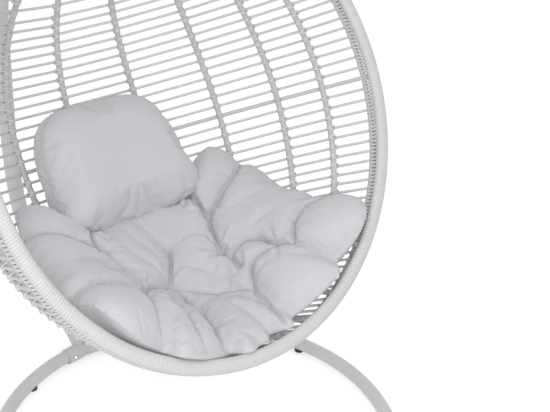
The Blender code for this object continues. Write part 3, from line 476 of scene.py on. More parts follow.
def joined(tree, first, second):
    both = add(tree, "GeometryNodeJoinGeometry")
    tree.links.new(first, both.inputs["Geometry"])
    tree.links.new(second, both.inputs["Geometry"])
    return both.outputs["Geometry"]


wind_tree, wind_in = new_tree(
    "wound_strand", [("Half Wide", "Float"), ("Half Deep", "Float"), ("Turns", "Int"), ("Turn Points", "Int"),
                     ("Strand Width", "Float"), ("Strand Thick", "Float"), ("Finish", "Material")])
wind_path = add(wind_tree, "GeometryNodeMeshToCurve", {"Mesh": wind_in["Geometry"]}).outputs["Curve"]
wind_count = calc(wind_tree, "MULTIPLY", wind_in["Turns"], wind_in["Turn Points"])
wind_line = add(wind_tree, "GeometryNodeMeshLine", {"Count": calc(wind_tree, "ADD", wind_count, 1.0)})
wind_index = add(wind_tree, "GeometryNodeInputIndex").outputs[0]
wind_share = calc(wind_tree, "DIVIDE", wind_index, wind_count)
wind_turn = calc(wind_tree, "DIVIDE", wind_index, wind_in["Turn Points"])
wind_angle = calc(wind_tree, "MULTIPLY", wind_turn, 2 * math.pi)
wind_spot = add(wind_tree, "GeometryNodeSampleCurve", {"Curves": wind_path, "Factor": wind_share},
                mode="FACTOR").outputs
wind_side = vector_calc(wind_tree, "CROSS_PRODUCT", wind_spot["Tangent"], wind_spot["Normal"])


def wind_across(wide, deep):
    """A way out from the bar's middle line at the strand's angle, for an oval of this width and depth."""
    reach = calc(wind_tree, "MULTIPLY", calc(wind_tree, "COSINE", wind_angle), wide)
    depth = calc(wind_tree, "MULTIPLY", calc(wind_tree, "SINE", wind_angle), deep)
    first = vector_calc(wind_tree, "SCALE", wind_spot["Normal"], reach)
    second = vector_calc(wind_tree, "SCALE", wind_side, depth)
    return vector_calc(wind_tree, "ADD", first, second)


wind_off = wind_across(wind_in["Half Wide"], wind_in["Half Deep"])
wind_at = vector_calc(wind_tree, "ADD", wind_spot["Position"], wind_off)
wind_outward = vector_calc(wind_tree, "NORMALIZE", wind_across(wind_in["Half Deep"], wind_in["Half Wide"]))
wind_store = add(wind_tree, "GeometryNodeStoreNamedAttribute",
                 {"Geometry": wind_line.outputs["Mesh"], "Name": "strand_out", "Value": wind_outward},
                 data_type="FLOAT_VECTOR", domain="POINT")
wind_set = add(wind_tree, "GeometryNodeSetPosition",
               {"Geometry": wind_store.outputs["Geometry"], "Position": wind_at})
wind_curve = add(wind_tree, "GeometryNodeMeshToCurve", {"Mesh": wind_set.outputs["Geometry"]})
wind_named = add(wind_tree, "GeometryNodeInputNamedAttribute", {"Name": "strand_out"},
                 data_type="FLOAT_VECTOR").outputs["Attribute"]
wind_free = add(wind_tree, "GeometryNodeSetCurveNormal",
                {"Curve": wind_curve.outputs["Curve"], "Normal": wind_named}, mode="FREE")
wind_flat = oval(wind_tree, 6, 0.5, wind_in["Strand Thick"], wind_in["Strand Width"])
wind_inner = oval(wind_tree, 12, 0.97, wind_in["Half Wide"], wind_in["Half Deep"])
wind_skin = swept(wind_tree, wind_free.outputs["Curve"], wind_flat)
wind_core = swept(wind_tree, wind_path, wind_inner)
close_tree(wind_tree, joined(wind_tree, wind_skin, wind_core), wind_in["Finish"])


def wound_bar(name, line, half_wide, half_deep, turns, finish, points=10, closed=False, width=STRAND_WIDTH):
    """A bar with strand wound round it; its outer size includes the strand."""
    source = line_mesh(name, [line], closed)
    run_tree(source, wind_tree, {
        "Half Wide": half_wide - STRAND_THICK / 2, "Half Deep": half_deep - STRAND_THICK / 2, "Turns": turns,
        "Turn Points": points, "Strand Width": width, "Strand Thick": STRAND_THICK, "Finish": finish})
    return source


def hung(piece, node=None):
    """Sets a piece that is drawn round the rim's centre at its place in the leaning bowl."""
    piece.data.transform(rim_place)
    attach(piece, "basket")
    if node:
        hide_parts(node)


strand_look = {"roughness": 0.5, "spread": 0.06, "scale": 500.0, "bump": 0.25, "distance": 0.0005,
               "gloss": (0.42, 0.58)}
white_strand = coated("white_wicker", STRAND, **strand_look)
# Painted shade: a darker copy of the white strand, used on the rim.
rim_strand_shaded = coated("white_wicker_rim_shaded", RIM_STRAND_SHADED, **strand_look)
rim_line = []
for k in range(RIM_STEPS):
    a = 2 * math.pi * k / RIM_STEPS
    rim_line.append(Vector((math.sin(a), math.cos(a), 0)) * rim_middle)
rim = wound_bar("wound_rim", rim_line, RIM_BAND / 2, RIM_THICK / 2, RIM_TURNS, rim_strand_shaded, 16, True,
                RIM_STRAND_WIDTH)
rim.data.transform(Matrix.Rotation(math.pi / 2, 4, "X"))
hung(rim, "rim_frame")

# Ribs: steel rods wound with strand, which run from the top of the rim round the back of the bowl
# to its bottom. They stand inside the thin rods and are bound to each of them.
BOWL_DEPTH = 0.5775
BOWL_HALF_WIDTH = 0.534
BOWL_HALF_HEIGHT = 0.542
BOWL_BLUNT = 2.33
BOWL_FULLNESS = 0.057
ROD_RADIUS = 0.0036
RIB_RADIUS = 0.0078
RIB_INSET = 0.01136
RIB_ANGLES = (0.0, 21.5, 43.1, 60.4, 74.1)
RIB_END_STEP = 6.0
RIB_END_BACK = 0.01345
RIB_PITCH = 0.0062
# The ribs' strand is the same white strand, painted darker: painted shade for the self-shadow in their coarse
# winding.
RIB_STRAND_SHADED = (0.60, 0.605, 0.60)
SLOPE_STEP = 0.0005


def furthest(holds, high, halvings=50):
    """The greatest length up to high for which a condition holds."""
    low = 0.0
    for _ in range(halvings):
        middle = (low + high) / 2
        if holds(middle):
            low = middle
        else:
            high = middle
    return low


def bowl_width(v):
    return BOWL_HALF_WIDTH * math.sqrt(max(0.0, 1 - (v / BOWL_HALF_HEIGHT) ** 2))


def bowl_reach(v):
    share = max(0.0, 1 - abs(v / BOWL_HALF_HEIGHT) ** BOWL_BLUNT) ** (1 / BOWL_BLUNT)
    return BOWL_DEPTH * share * (1 + BOWL_FULLNESS * v / RIM_RADIUS)


def on_bowl(phi, v):
    return Vector((bowl_width(v) * math.sin(phi), bowl_reach(v) * math.cos(phi), v))


def outward_at(point):
    v = point.z
    h = min(SLOPE_STEP, (BOWL_HALF_HEIGHT - abs(v)) * 0.3)
    w = max(1e-6, bowl_width(v))
    d = max(1e-6, bowl_reach(v))
    w_slope = (bowl_width(v + h) - bowl_width(v - h)) / (2 * h)
    d_slope = (bowl_reach(v + h) - bowl_reach(v - h)) / (2 * h)
    slope = -point.x ** 2 * w_slope / w ** 3 - point.y ** 2 * d_slope / d ** 3
    return Vector((point.x / w ** 2, point.y / d ** 2, slope)).normalized()


def shifted(point, outward):
    return point + outward_at(point) * outward


def rib_across(index, v):
    """How far out a rib lies: a meridian of the bowl that settles at its own place on the rim."""
    spread = bowl_width(v) * math.sin(math.radians(RIB_ANGLES[index]))
    own = BOWL_HALF_HEIGHT * math.sin(math.radians(RIB_END_STEP * index))
    near = max(0.0, 1 - abs(spread - own) / max(1e-9, own))
    return max(spread, own) + own * near ** 2 / 4


def rib_phi(index, v):
    return math.asin(min(1.0, rib_across(index, v) / max(1e-9, bowl_width(v))))


def rib_end(index, sign):
    """The level at which a rib meets the rim's back."""
    def behind_rim(v):
        return on_bowl(rib_phi(index, sign * v), sign * v).y > RIB_END_BACK

    return sign * furthest(behind_rim, BOWL_HALF_HEIGHT)


def bend_angle(v):
    return math.asin(min(1.0, abs(v / BOWL_HALF_HEIGHT) ** (BOWL_BLUNT / 2)))


def rib_line(index, sign, steps=90):
    low = -bend_angle(rib_end(index, -1))
    high = bend_angle(rib_end(index, 1))
    line = []
    for k in range(steps + 1):
        t = low + (high - low) * k / steps
        v = math.copysign(BOWL_HALF_HEIGHT * abs(math.sin(t)) ** (2 / BOWL_BLUNT), t)
        spot = on_bowl(rib_phi(index, v), v)
        spot = spot - outward_at(spot) * RIB_INSET
        line.append(Vector((sign * spot.x, spot.y, spot.z)))
    line[0].y = RIB_END_BACK
    line[-1].y = RIB_END_BACK
    return line


def length_of(line):
    return sum((b - a).length for a, b in zip(line, line[1:]))


# Painted shade: a darker copy of the white strand, used on the ribs.
rib_strand_shaded = coated("white_wicker_ribs_shaded", RIB_STRAND_SHADED, roughness=0.55, spread=0.14, scale=260.0,
                    bump=0.4, distance=0.0007, gloss=(0.40, 0.60))
rib_names = [("rib_centre", 0, 1)]
rib_names += [("rib_" + s + "_" + str(i), i, g) for i in range(1, 5) for s, g in (("left", -1), ("right", 1))]
for name, index, sign in rib_names:
    line = rib_line(index, sign)
    turns = int(length_of(line) / RIB_PITCH)
    rib = wound_bar("wound_" + name, line, RIB_RADIUS, RIB_RADIUS, turns, rib_strand_shaded)
    hung(rib, name)

# Middle hoop: one thicker bar, wound with strand, which runs round the bowl at half height.
# It lies behind the ribs, is bound to them and ends at the rim's back.
MIDDLE_RADIUS = 0.0055
MIDDLE_LEVEL = -0.027
MIDDLE_OUT = 0.00126
MIDDLE_PITCH = 0.0062
MIDDLE_STEPS = 120
middle_last = math.acos(RIB_END_BACK / bowl_reach(MIDDLE_LEVEL))
middle_line = []
for k in range(MIDDLE_STEPS + 1):
    spot = on_bowl(middle_last * (2 * k / MIDDLE_STEPS - 1), MIDDLE_LEVEL)
    middle_line.append(shifted(spot, MIDDLE_OUT))
middle_turns = int(length_of(middle_line) / MIDDLE_PITCH)
middle = wound_bar("wound_middle_hoop", middle_line, MIDDLE_RADIUS, MIDDLE_RADIUS, middle_turns,
                   white_strand, 8)
hung(middle, "middle_hoop")

# Rods: thin round strands over wire, straight from rib to rib, which end in a wound hoop behind the rim.
# They are bound to every rib that they cross.
ROD_PITCH = 0.0275
ROD_PITCH_LOSS = 0.0005
ROD_PITCH_LEAST = 0.0238
ROD_PITCH_LOW = 0.0200
ROD_PITCH_ENDS = 0.032
ROD_ENDS_FROM = 0.33
HOOP_RADIUS = 0.0062
HOOP_BACK = 0.036
HOOP_OUT = 0.0034
HOOP_PITCH = 0.0062
HOOP_JOINT = 0.0006
ROD_END_CLEAR = math.radians(3)
LEVEL_STEP = 0.0002


def level_where(reach, sign):
    """The level at which the middle of the bowl is a given way behind the rim."""
    return sign * furthest(lambda v: bowl_reach(sign * v) > reach, BOWL_HALF_HEIGHT)


def rod_levels(sign):
    levels = []
    v = MIDDLE_LEVEL
    k = 0
    end = abs(level_where(HOOP_BACK + ROD_PITCH_ENDS, sign))
    least = ROD_PITCH_LEAST if sign > 0 else ROD_PITCH_LOW
    while True:
        pitch = ROD_PITCH_ENDS if v > ROD_ENDS_FROM else max(least, ROD_PITCH - ROD_PITCH_LOSS * k)
        walked = 0.0
        spot = on_bowl(0, v)
        while walked < pitch:
            v += sign * LEVEL_STEP
            if abs(v) > end:
                return levels
            step = on_bowl(0, v)
            walked += (step - spot).length
            spot = step
        levels.append(v)
        k += 1


def rod_end(v):
    return math.acos(HOOP_BACK / bowl_reach(v))


def ribs_crossed(v):
    """The ribs that a rod at this level crosses before it ends in the hoop."""
    return [i for i in range(len(RIB_ANGLES)) if rib_phi(i, v) < rod_end(v) - ROD_END_CLEAR]


def rod_line(v):
    line = [on_bowl(rib_phi(i, v), v) for i in ribs_crossed(v)]
    line.append(shifted(on_bowl(rod_end(v), v), HOOP_OUT))
    return [Vector((-p.x, p.y, p.z)) for p in line[:0:-1]] + line


def hoop_line(sign, steps=140):
    top = abs(level_where(HOOP_BACK, sign))
    first = math.asin((MIDDLE_LEVEL + sign * (MIDDLE_RADIUS + HOOP_JOINT)) / top)
    line = []
    for k in range(steps + 1):
        a = first + (sign * math.pi - 2 * first) * k / steps
        v = top * math.sin(a) * 0.99999
        x = bowl_width(v) * math.sqrt(max(0.0, 1 - (HOOP_BACK / bowl_reach(v)) ** 2))
        spot = Vector((math.copysign(x, math.cos(a)), HOOP_BACK, v))
        line.append(shifted(spot, HOOP_OUT))
    return line


crossings = []
for name, sign in (("upper", 1), ("lower", -1)):
    levels = rod_levels(sign)
    rods = round_bar("rods_" + name, [rod_line(v) for v in levels], ROD_RADIUS, white_strand, 8, 0.012)
    hung(rods, "wicker_" + name)
    line = hoop_line(sign)
    turns = int(length_of(line) / HOOP_PITCH)
    hoop = wound_bar("wound_edge_hoop_" + name, line, HOOP_RADIUS, HOOP_RADIUS, turns, white_strand, 8)
    hung(hoop)
    for v in levels:
        for i in ribs_crossed(v):
            for g in ((1,) if i == 0 else (-1, 1)):
                crossings.append((i, g, v))

# Bindings: at every crossing a short end of strand is tied crosswise round the rib and the rod.
# They show as the small lumps along each rib.
KNOT_WIDE = 0.0092
KNOT_DEEP = 0.0128
KNOT_SHIFT = 0.0040
KNOT_STRAND = 0.0021
KNOT_TILT = math.radians(32)
KNOT_PROBE = 0.004

knot_tree, knot_in = new_tree(
    "crosswise_binding", [("Half Wide", "Float"), ("Half Deep", "Float"), ("Strand", "Float"),
                          ("Tilt", "Float"), ("Finish", "Material")])
knot_oval = oval(knot_tree, 10, 1.0, knot_in["Half Deep"], knot_in["Half Wide"])
knot_round = add(knot_tree, "GeometryNodeCurvePrimitiveCircle",
                 {"Resolution": 5, "Radius": knot_in["Strand"]}, mode="RADIUS")
knot_ring = swept(knot_tree, knot_oval, knot_round.outputs["Curve"], False)
knot_pair = []
for tilt in (knot_in["Tilt"], calc(knot_tree, "MULTIPLY", knot_in["Tilt"], -1.0)):
    turn = add(knot_tree, "ShaderNodeCombineXYZ", {"X": tilt})
    given = {"Geometry": knot_ring, "Rotation": turn.outputs[0]}
    knot_pair.append(add(knot_tree, "GeometryNodeTransform", given).outputs["Geometry"])
knot_ways = []
for label in ("along", "outward"):
    way = add(knot_tree, "GeometryNodeInputNamedAttribute", {"Name": label}, data_type="FLOAT_VECTOR")
    knot_ways.append(way.outputs["Attribute"])
knot_axes = add(knot_tree, "FunctionNodeAxesToRotation",
                {"Primary Axis": knot_ways[0], "Secondary Axis": knot_ways[1]},
                primary_axis="Z", secondary_axis="X")
knot_places = add(knot_tree, "GeometryNodeInstanceOnPoints",
                  {"Points": knot_in["Geometry"], "Instance": joined(knot_tree, *knot_pair),
                   "Rotation": knot_axes.outputs["Rotation"]})
close_tree(knot_tree, knot_places.outputs["Instances"], knot_in["Finish"])


def tied(name, spots, ways, outs, wide, deep, strand):
    """Crosswise bindings at a row of spots, each with its way along the bar and its way outward."""
    piece = line_mesh(name, [])
    piece.data.from_pydata(spots, [], [])
    for label, values in (("along", ways), ("outward", outs)):
        piece.data.attributes.new(label, "FLOAT_VECTOR", "POINT").data.foreach_set("vector", values)
    run_tree(piece, knot_tree, {"Half Wide": wide, "Half Deep": deep, "Strand": strand,
                                "Tilt": KNOT_TILT, "Finish": white_strand})
    hung(piece)


binding_spots = []
binding_ways = []
binding_outs = []
for index, sign, v in crossings:
    spot = on_bowl(rib_phi(index, v), v)
    outward = outward_at(spot)
    low = v - KNOT_PROBE
    high = v + KNOT_PROBE
    along = on_bowl(rib_phi(index, high), high) - on_bowl(rib_phi(index, low), low)
    along = (along - outward * along.dot(outward)).normalized()
    spot = spot - outward * (RIB_INSET - KNOT_SHIFT)
    binding_spots.append((sign * spot.x, spot.y, spot.z))
    binding_ways += [sign * along.x, along.y, along.z]
    binding_outs += [sign * outward.x, outward.y, outward.z]
tied("bindings", binding_spots, binding_ways, binding_outs, KNOT_WIDE, KNOT_DEEP, KNOT_STRAND)

# Lacing: a strand wound crosswise round the edge hoop and the rim's back ties the bowl to the rim.
# It fills the narrow gap behind the rim.
LACE_STEP = 0.0092
LACE_WIDE = 0.0076
LACE_DEEP = 0.0168
LACE_BACK = 0.0268
LACE_STRAND = 0.0026
lace_spots = []
lace_ways = []
for sign in (1, -1):
    line = hoop_line(sign)
    walked = 0.0
    due = LACE_STEP / 2
    for a, b in zip(line, line[1:]):
        stretch = (b - a).length
        while walked + stretch > due:
            spot = a + (b - a) * ((due - walked) / stretch)
            lace_spots.append((spot.x, LACE_BACK, spot.z))
            lace_ways += list((b - a).normalized())
            due += LACE_STEP
        walked += stretch
lace_outs = [0.0, 1.0, 0.0] * len(lace_spots)
tied("lacing", lace_spots, lace_ways, lace_outs, LACE_WIDE, LACE_DEEP, LACE_STRAND)

# Seat cushion: a large quilted pad of pale woven cloth filled with fibre, pressed into the bowl.
# Threads drawn through it make tufts, and deep creases run between them and out to its edge.
PAD_THICK = 0.125
PAD_EDGE = 0.060
PAD_OFF = 0.0211
PAD_EYE = Vector((0, 0.10, -0.05))
PAD_VOXEL = 0.005
PAD_MOST_MOVE = 0.026
PAD_PRESSURE = 1.8
PAD_SLACK = 0.035
PAD_ROUND = 270
TUFT_DEPTH = 0.66
TUFT_WIDTH = 6.0
CREASE_DEPTH = 0.40
CREASE_WIDTH = 4.5
PAD_DRAWN = 0.013
DRAWN_WIDTH = 0.55
TUFT_HOLD = 0.6
TUFT_FADE = 1.6
CREASE_HOLD = 0.9
CREASE_FADE = 0.7
UNDER_HOLD = 0.012
UNDER_FADE = 0.02
GATHER_HEIGHT = 0.0021
GATHER_FOLDS = (7, 12)
GATHER_OUT = 6.0
GATHER_WIDTH = 3.6
NOTCHES = (6, 18, 76, 115)
NOTCH_DEPTH = 2.0
NOTCH_WIDTH = 4.0
FRONT_EDGE = 0.12
RIGHT_EDGE = 0.23
CROWN_BLUNT = 6
CROWN_SOFT = 2.2
FRONT_THIN = 0.34
CLOTH = (0.57, 0.577, 0.596)
CLOTH_THREAD = 0.0013
CLOTH_PER_DEGREE = 0.0088
WAVE_LENGTH = 0.314
# Places on the pad in degrees from its lowest point: first to the right, then to the back.
TUFTS = ((26.7, 14.8), (18.3, -1.5), (13.0, -20.0), (-6.0, -2.0), (27.3, 28.0), (30.4, -21.0),
         (-27.0, 15.0), (-27.5, 28.0), (-32.0, -19.0), (-20.0, -6.0))
CREASES = (
    ((26.7, 14.8), (21.0, 4.3), (18.3, -1.5)),
    ((18.3, -1.5), (18.6, -6.0), (25.7, -6.5), (29.3, -10.5), (30.4, -21.0)),
    ((30.4, -21.0), (32.2, -24.5), (41.5, -19.0), (48.0, -18.0), (58.0, -23.0)),
    ((30.4, -21.0), (27.2, -19.5), (20.0, -16.7), (13.0, -20.0)),
    ((18.6, -6.0), (17.2, -12.5)),
    ((13.0, -20.0), (10.5, -27.0), (8.0, -34.0), (2.0, -43.0)),
    ((-6.0, -2.0), (-6.0, -10.0), (-9.0, -23.0), (-15.0, -38.0)),
    ((3.5, 12.5), (0.5, 6.0), (-6.0, -2.0)),
    ((26.7, 14.8), (30.0, 14.5), (37.0, 17.0), (47.0, 19.6), (62.0, 27.0)),
    ((27.3, 28.0), (26.7, 14.8)),
    ((32.2, -24.5), (32.8, -35.0), (28.0, -43.0)),
    ((13.0, -20.0), (-6.0, -2.0)),
    ((-27.0, 15.0), (-37.0, 18.0), (-62.0, 27.0)),
    ((-27.0, 15.0), (-20.0, -6.0), (-32.0, -19.0)),
    ((-32.0, -19.0), (-45.0, -16.0), (-60.0, -20.0)),
    ((-32.0, -19.0), (-34.0, -31.0), (-30.0, -42.0)),
    ((-20.0, -6.0), (-6.0, -2.0)),
    ((-20.0, -6.0), (-19.0, -20.0), (-22.0, -38.0)),
    ((-27.5, 28.0), (-27.0, 15.0)),
)
to_rim = Matrix.Rotation(LEAN, 3, "X")
pad_eye = to_rim @ PAD_EYE


def inside_bowl(point):
    if abs(point.z) >= BOWL_HALF_HEIGHT:
        return False
    return (point.x / bowl_width(point.z)) ** 2 + (point.y / bowl_reach(point.z)) ** 2 < 1


def bowl_hit(way):
    return pad_eye + way * furthest(lambda r: inside_bowl(pad_eye + way * r), 2 * RIM_RADIUS, 22)


def smooth(t):
    t = min(1.0, max(0.0, t))
    return t * t * (3 - 2 * t)


def bell(distance, width):
    return math.exp(-(distance / width) ** 2)


def pad_limit(beta):
    """How far the pad climbs the bowl in degrees from straight down. Beta runs from front to back."""
    b = abs(beta)
    limit = 39 - 1.5 * smooth((b - 12) / 8) + 25 * smooth((b - 18) / 42) - 8 * bell(b - 45, 5)
    limit -= 3.5 * smooth((b - 60) / 14) + 6 * bell(b - 92, 17)
    limit -= 20 * smooth((b - 128) / 16) - 2 * bell(b - 128, 9)
    limit -= 4 * bell(beta - 4, 7)
    return limit - sum(NOTCH_DEPTH * bell(b - c, NOTCH_WIDTH) for c in NOTCHES)


def pad_way(climb, beta):
    a = math.radians(climb)
    b = math.radians(beta)
    return Vector((math.sin(a) * math.sin(b), -math.sin(a) * math.cos(b), -math.cos(a)))


def beside(point, a, b):
    """How far a point lies from the stretch between two others."""
    way = b - a
    share = min(1.0, max(0.0, (point - a).dot(way) / way.length_squared))
    return (point - a - way * share).length


tuft_points = [Vector(t) for t in TUFTS]
crease_lines = [[Vector(p) for p in line] for line in CREASES]


def tuft_near(spot):
    return min((spot - t).length for t in tuft_points)


def crease_near(spot):
    return min(beside(spot, a, b) for line in crease_lines for a, b in zip(line, line[1:]))


def fold(distance, width):
    """Share of a crease's depth beside it: the cloth drops in steeply and rounds over to its lobes."""
    near = max(0.0, 1 - distance / width)
    return 1 - math.sqrt(1 - near ** 2)


def gathers(spot):
    """Fine wrinkles that run out from the tufts."""
    lift = 0.0
    for number, tuft in enumerate(tuft_points):
        away = spot - tuft
        turn = math.atan2(away.y, away.x)
        for folds in GATHER_FOLDS:
            lift += math.sin(folds * turn + number * folds) * bell(away.length - GATHER_OUT, GATHER_WIDTH)
    return GATHER_HEIGHT * lift


def pad_edge(beta):
    """Height of the edge's seam over the bowl. At the front the pad thins towards the rim."""
    right = smooth((beta + 12) / 12)
    low = FRONT_EDGE + RIGHT_EDGE * right
    return PAD_EDGE / 2 * (low + (1 - low) * smooth((abs(beta) - 40 + 30 * right) / 25))


def pad_height(share, beta):
    """Height of the pad's face over the bowl at a share of the way to its edge."""
    climb = pad_limit(beta) * share
    spot = Vector((climb * math.sin(math.radians(beta)), -climb * math.cos(math.radians(beta))))
    front = 1 - smooth((abs(beta) - 30) / 20)
    crown = math.sqrt(max(0.0, 1 - share ** (CROWN_BLUNT - CROWN_SOFT * front)))
    crease = CREASE_DEPTH * fold(crease_near(spot), CREASE_WIDTH)
    dip = max(crease, TUFT_DEPTH * fold(tuft_near(spot), TUFT_WIDTH))
    edge = pad_edge(beta)
    middle = 1 - smooth((abs(spot.x) - 8) / 14)
    thick = PAD_THICK * (1 - FRONT_THIN * smooth((8 - spot.y) / 24) * middle)
    return edge + (thick - edge) * (1 - dip) * crown


def pad_point(share, beta, face):
    way = to_rim @ pad_way(pad_limit(beta) * share, beta)
    base = shifted(bowl_hit(way), -PAD_OFF)
    height = pad_height(share, beta) if face else pad_edge(beta) * share ** 9
    return base + (pad_eye - base).normalized() * height


def evened(piece, voxel):
    """The same form with an even mesh, ready for the cloth."""
    modifier = piece.modifiers.new("even", "REMESH")
    modifier.mode = "VOXEL"
    modifier.voxel_size = voxel
    return made_plain(piece)


def stuffed(piece, held, pressure, slack, most_move, frames=22):
    """Swells the piece's cloth over its filling. held gives how firmly each point is kept, 0 to 1."""
    before = [v.co.copy() for v in piece.data.vertices]
    group = piece.vertex_groups.new(name="held")
    for index, weight in enumerate(held):
        if weight > 0.01:
            group.add([index], weight, "REPLACE")
    cloth = piece.modifiers.new("cloth", "CLOTH")
    fabric = cloth.settings
    fabric.quality = 5
    fabric.mass = 0.25
    fabric.tension_stiffness = 12
    fabric.compression_stiffness = 8
    fabric.shear_stiffness = 4
    fabric.bending_stiffness = 0.25
    fabric.air_damping = 3
    fabric.use_pressure = True
    fabric.uniform_pressure_force = pressure
    fabric.shrink_min = -slack
    fabric.vertex_group_mass = "held"
    fabric.pin_stiffness = 4
    fabric.effector_weights.gravity = 0
    cloth.collision_settings.use_collision = False
    cloth.collision_settings.use_self_collision = False
    cloth.point_cache.frame_start = 1
    cloth.point_cache.frame_end = frames
    for number in range(1, frames + 1):
        bpy.context.scene.frame_set(number)
    graph = bpy.context.evaluated_depsgraph_get()
    swollen = [v.co.copy() for v in piece.evaluated_get(graph).data.vertices]
    piece.modifiers.clear()
    bpy.context.scene.frame_set(1)
    for vert, old, new in zip(piece.data.vertices, before, swollen):
        move = new - old
        if move.length > most_move:
            move *= most_move / move.length
        vert.co = old + move
    return piece


def woven(name, colour, thread):
    """Plain-woven cloth: warp and weft on the piece's own map, with soft changes of tone."""
    material, tree, shader = plain_finish(name, colour, 0.85)
    where = add(tree, "ShaderNodeUVMap", uv_map="cloth").outputs["UV"]
    wave = {"Vector": where, "Scale": WAVE_LENGTH / thread, "Distortion": 0.6, "Detail": 1.0,
            "Detail Scale": 2.0}
    warp = add(tree, "ShaderNodeTexWave", wave, bands_direction="X")
    weft = add(tree, "ShaderNodeTexWave", wave, bands_direction="Y")
    both = calc(tree, "MULTIPLY", warp.outputs[1], weft.outputs[1])
    slub = add(tree, "ShaderNodeTexNoise", {"Vector": where, "Scale": 60.0, "Detail": 4.0})
    dark = (*(c * 0.94 for c in colour), 1.0)
    pale = (*(min(1.0, c * 1.04) for c in colour), 1.0)
    mottle = calc(tree, "MULTIPLY", both, slub.outputs[0])
    tone = add(tree, "ShaderNodeMix", {0: mottle, "A": dark, "B": pale}, data_type="RGBA")
    tree.links.new(tone.outputs["Result"], shader.inputs["Base Color"])
    bump = add(tree, "ShaderNodeBump", {"Height": both, "Strength": 0.35, "Distance": thread * 0.4})
    tree.links.new(bump.outputs["Normal"], shader.inputs["Normal"])
    shader.inputs["Sheen Weight"].default_value = 0.25
    shader.inputs["Sheen Roughness"].default_value = 0.5
    return material


def cloth_map(piece, spots):
    """Lays the cloth's own map on the piece, in metres, from a flat place for each point."""
    layer = piece.data.uv_layers.new(name="cloth")
    for loop in piece.data.loops:
        layer.data[loop.index].uv = spots[loop.vertex_index]


pale_cloth = woven("pale_fabric", CLOTH, CLOTH_THREAD)
pad_shares = [k / 54 for k in range(1, 48)] + [0.89, 0.905, 0.92, 0.935, 0.95, 0.965, 0.98, 0.99, 1.0]
pad_under = [0.985, 0.95, 0.88, 0.78, 0.66, 0.52, 0.36, 0.18]
pad_rows = [[pad_point(0.0, 0.0, True)]]
for face, shares in ((True, pad_shares), (False, pad_under)):
    for share in shares:
        pad_rows.append([pad_point(share, 360.0 * k / PAD_ROUND - 180, face) for k in range(PAD_ROUND)])
pad_rows.append([pad_point(0.0, 0.0, False)])
pad = evened(closed_form("seat_pad", pad_rows), PAD_VOXEL)
pad_held = []
pad_drawn = []
pad_flat = []
for vert in pad.data.vertices:
    way = (vert.co - pad_eye).normalized()
    level = to_rim.transposed() @ way
    climb = math.degrees(math.acos(max(-1.0, min(1.0, -level.z))))
    turn = math.atan2(level.x, -level.y)
    spot = Vector((climb * math.sin(turn), -climb * math.cos(turn)))
    over = (bowl_hit(way) - vert.co).length - PAD_OFF
    to_tuft = tuft_near(spot)
    to_crease = crease_near(spot)
    under = 1.0 - smooth((over - UNDER_HOLD) / UNDER_FADE)
    tuft = 1.0 - smooth((to_tuft - TUFT_HOLD) / TUFT_FADE)
    crease = CREASE_HOLD * (1.0 - smooth(to_crease / CREASE_FADE))
    pad_held.append(max(under, tuft, crease))
    pull = PAD_DRAWN * bell(min(to_crease, to_tuft), DRAWN_WIDTH) * smooth(over / 0.04)
    pad_drawn.append(way * (pull - gathers(spot) * smooth((over - 0.03) / 0.03)))
    pad_flat.append((spot.x * CLOTH_PER_DEGREE, spot.y * CLOTH_PER_DEGREE))
cloth_map(pad, pad_flat)
stuffed(pad, pad_held, PAD_PRESSURE, PAD_SLACK, PAD_MOST_MOVE)
for vert, pull in zip(pad.data.vertices, pad_drawn):
    vert.co += pull
pad.data.shade_smooth()
pad.data.materials.append(pale_cloth)
hung(pad, "seat_cushion")

# Back cushion: a loose pillow of the same cloth, sewn from two panels and stuffed,
# which stands on the seat pad and leans on the ribs.
PILLOW_WIDTH = 0.405
PILLOW_HEIGHT = 0.32
PILLOW_TAPER = 0.18
PILLOW_THICK = 0.17
PILLOW_LEVEL = -0.050
PILLOW_SAG = 0.06
PILLOW_SLOPE = 0.027
PILLOW_OFF = 0.0209
PILLOW_VOXEL = 0.0055
PILLOW_MOST_MOVE = 0.022
PILLOW_PRESSURE = 3.0
PILLOW_SLACK = 0.06
PILLOW_ROUND = 80
PILLOW_RINGS = 36
PILLOW_BLUNT = 0.7
PILLOW_SHOULDER = 0.75
PILLOW_FULL = 0.8
PILLOW_PINCH = 0.05
PILLOW_FOOT = 0.35
SEAM_HALF = 0.002
SEAM_FADE = 0.006
SEAM_HOLD = 0.9


def behind_pillow(x, v):
    """How far back the ribs let the pillow lie."""
    spot = on_bowl(math.asin(x / bowl_width(v)), v)
    return spot.y - PILLOW_OFF / outward_at(spot).y


def pillow_stand(level):
    """How far the pillow's foot stands forward of the ribs, on the seat pad's back edge."""
    return PILLOW_SLOPE * smooth((PILLOW_LEVEL + PILLOW_FOOT * PILLOW_HEIGHT - level) / PILLOW_HEIGHT)


def blunted(value, power):
    return math.copysign(abs(value) ** power, value)


pillow_rows = []
for k in range(PILLOW_RINGS + 1):
    a = -math.pi / 2 + math.pi * k / PILLOW_RINGS
    out = math.cos(a) ** PILLOW_SHOULDER if 0 < k < PILLOW_RINGS else 0.0
    full = blunted(math.sin(a), PILLOW_FULL) * PILLOW_THICK / 2
    ring = []
    for j in range(PILLOW_ROUND if out else 1):
        b = 2 * math.pi * j / PILLOW_ROUND
        x = blunted(math.cos(b), PILLOW_BLUNT) * PILLOW_WIDTH / 2
        z = blunted(math.sin(b), PILLOW_BLUNT) * PILLOW_HEIGHT / 2
        drawn = out * (1 - PILLOW_PINCH * math.cos(2 * b) ** 2)
        x *= 1 - PILLOW_TAPER * math.sin(b)
        level = PILLOW_LEVEL + z * drawn * (1 + PILLOW_SAG * (z < 0))
        back = behind_pillow(x * drawn, level) - pillow_stand(level)
        ring.append(Vector((x * drawn, back - PILLOW_THICK / 2 - full, level)))
    pillow_rows.append(ring)
pillow = evened(closed_form("back_pillow", pillow_rows), PILLOW_VOXEL)
pillow_held = []
pillow_flat = []
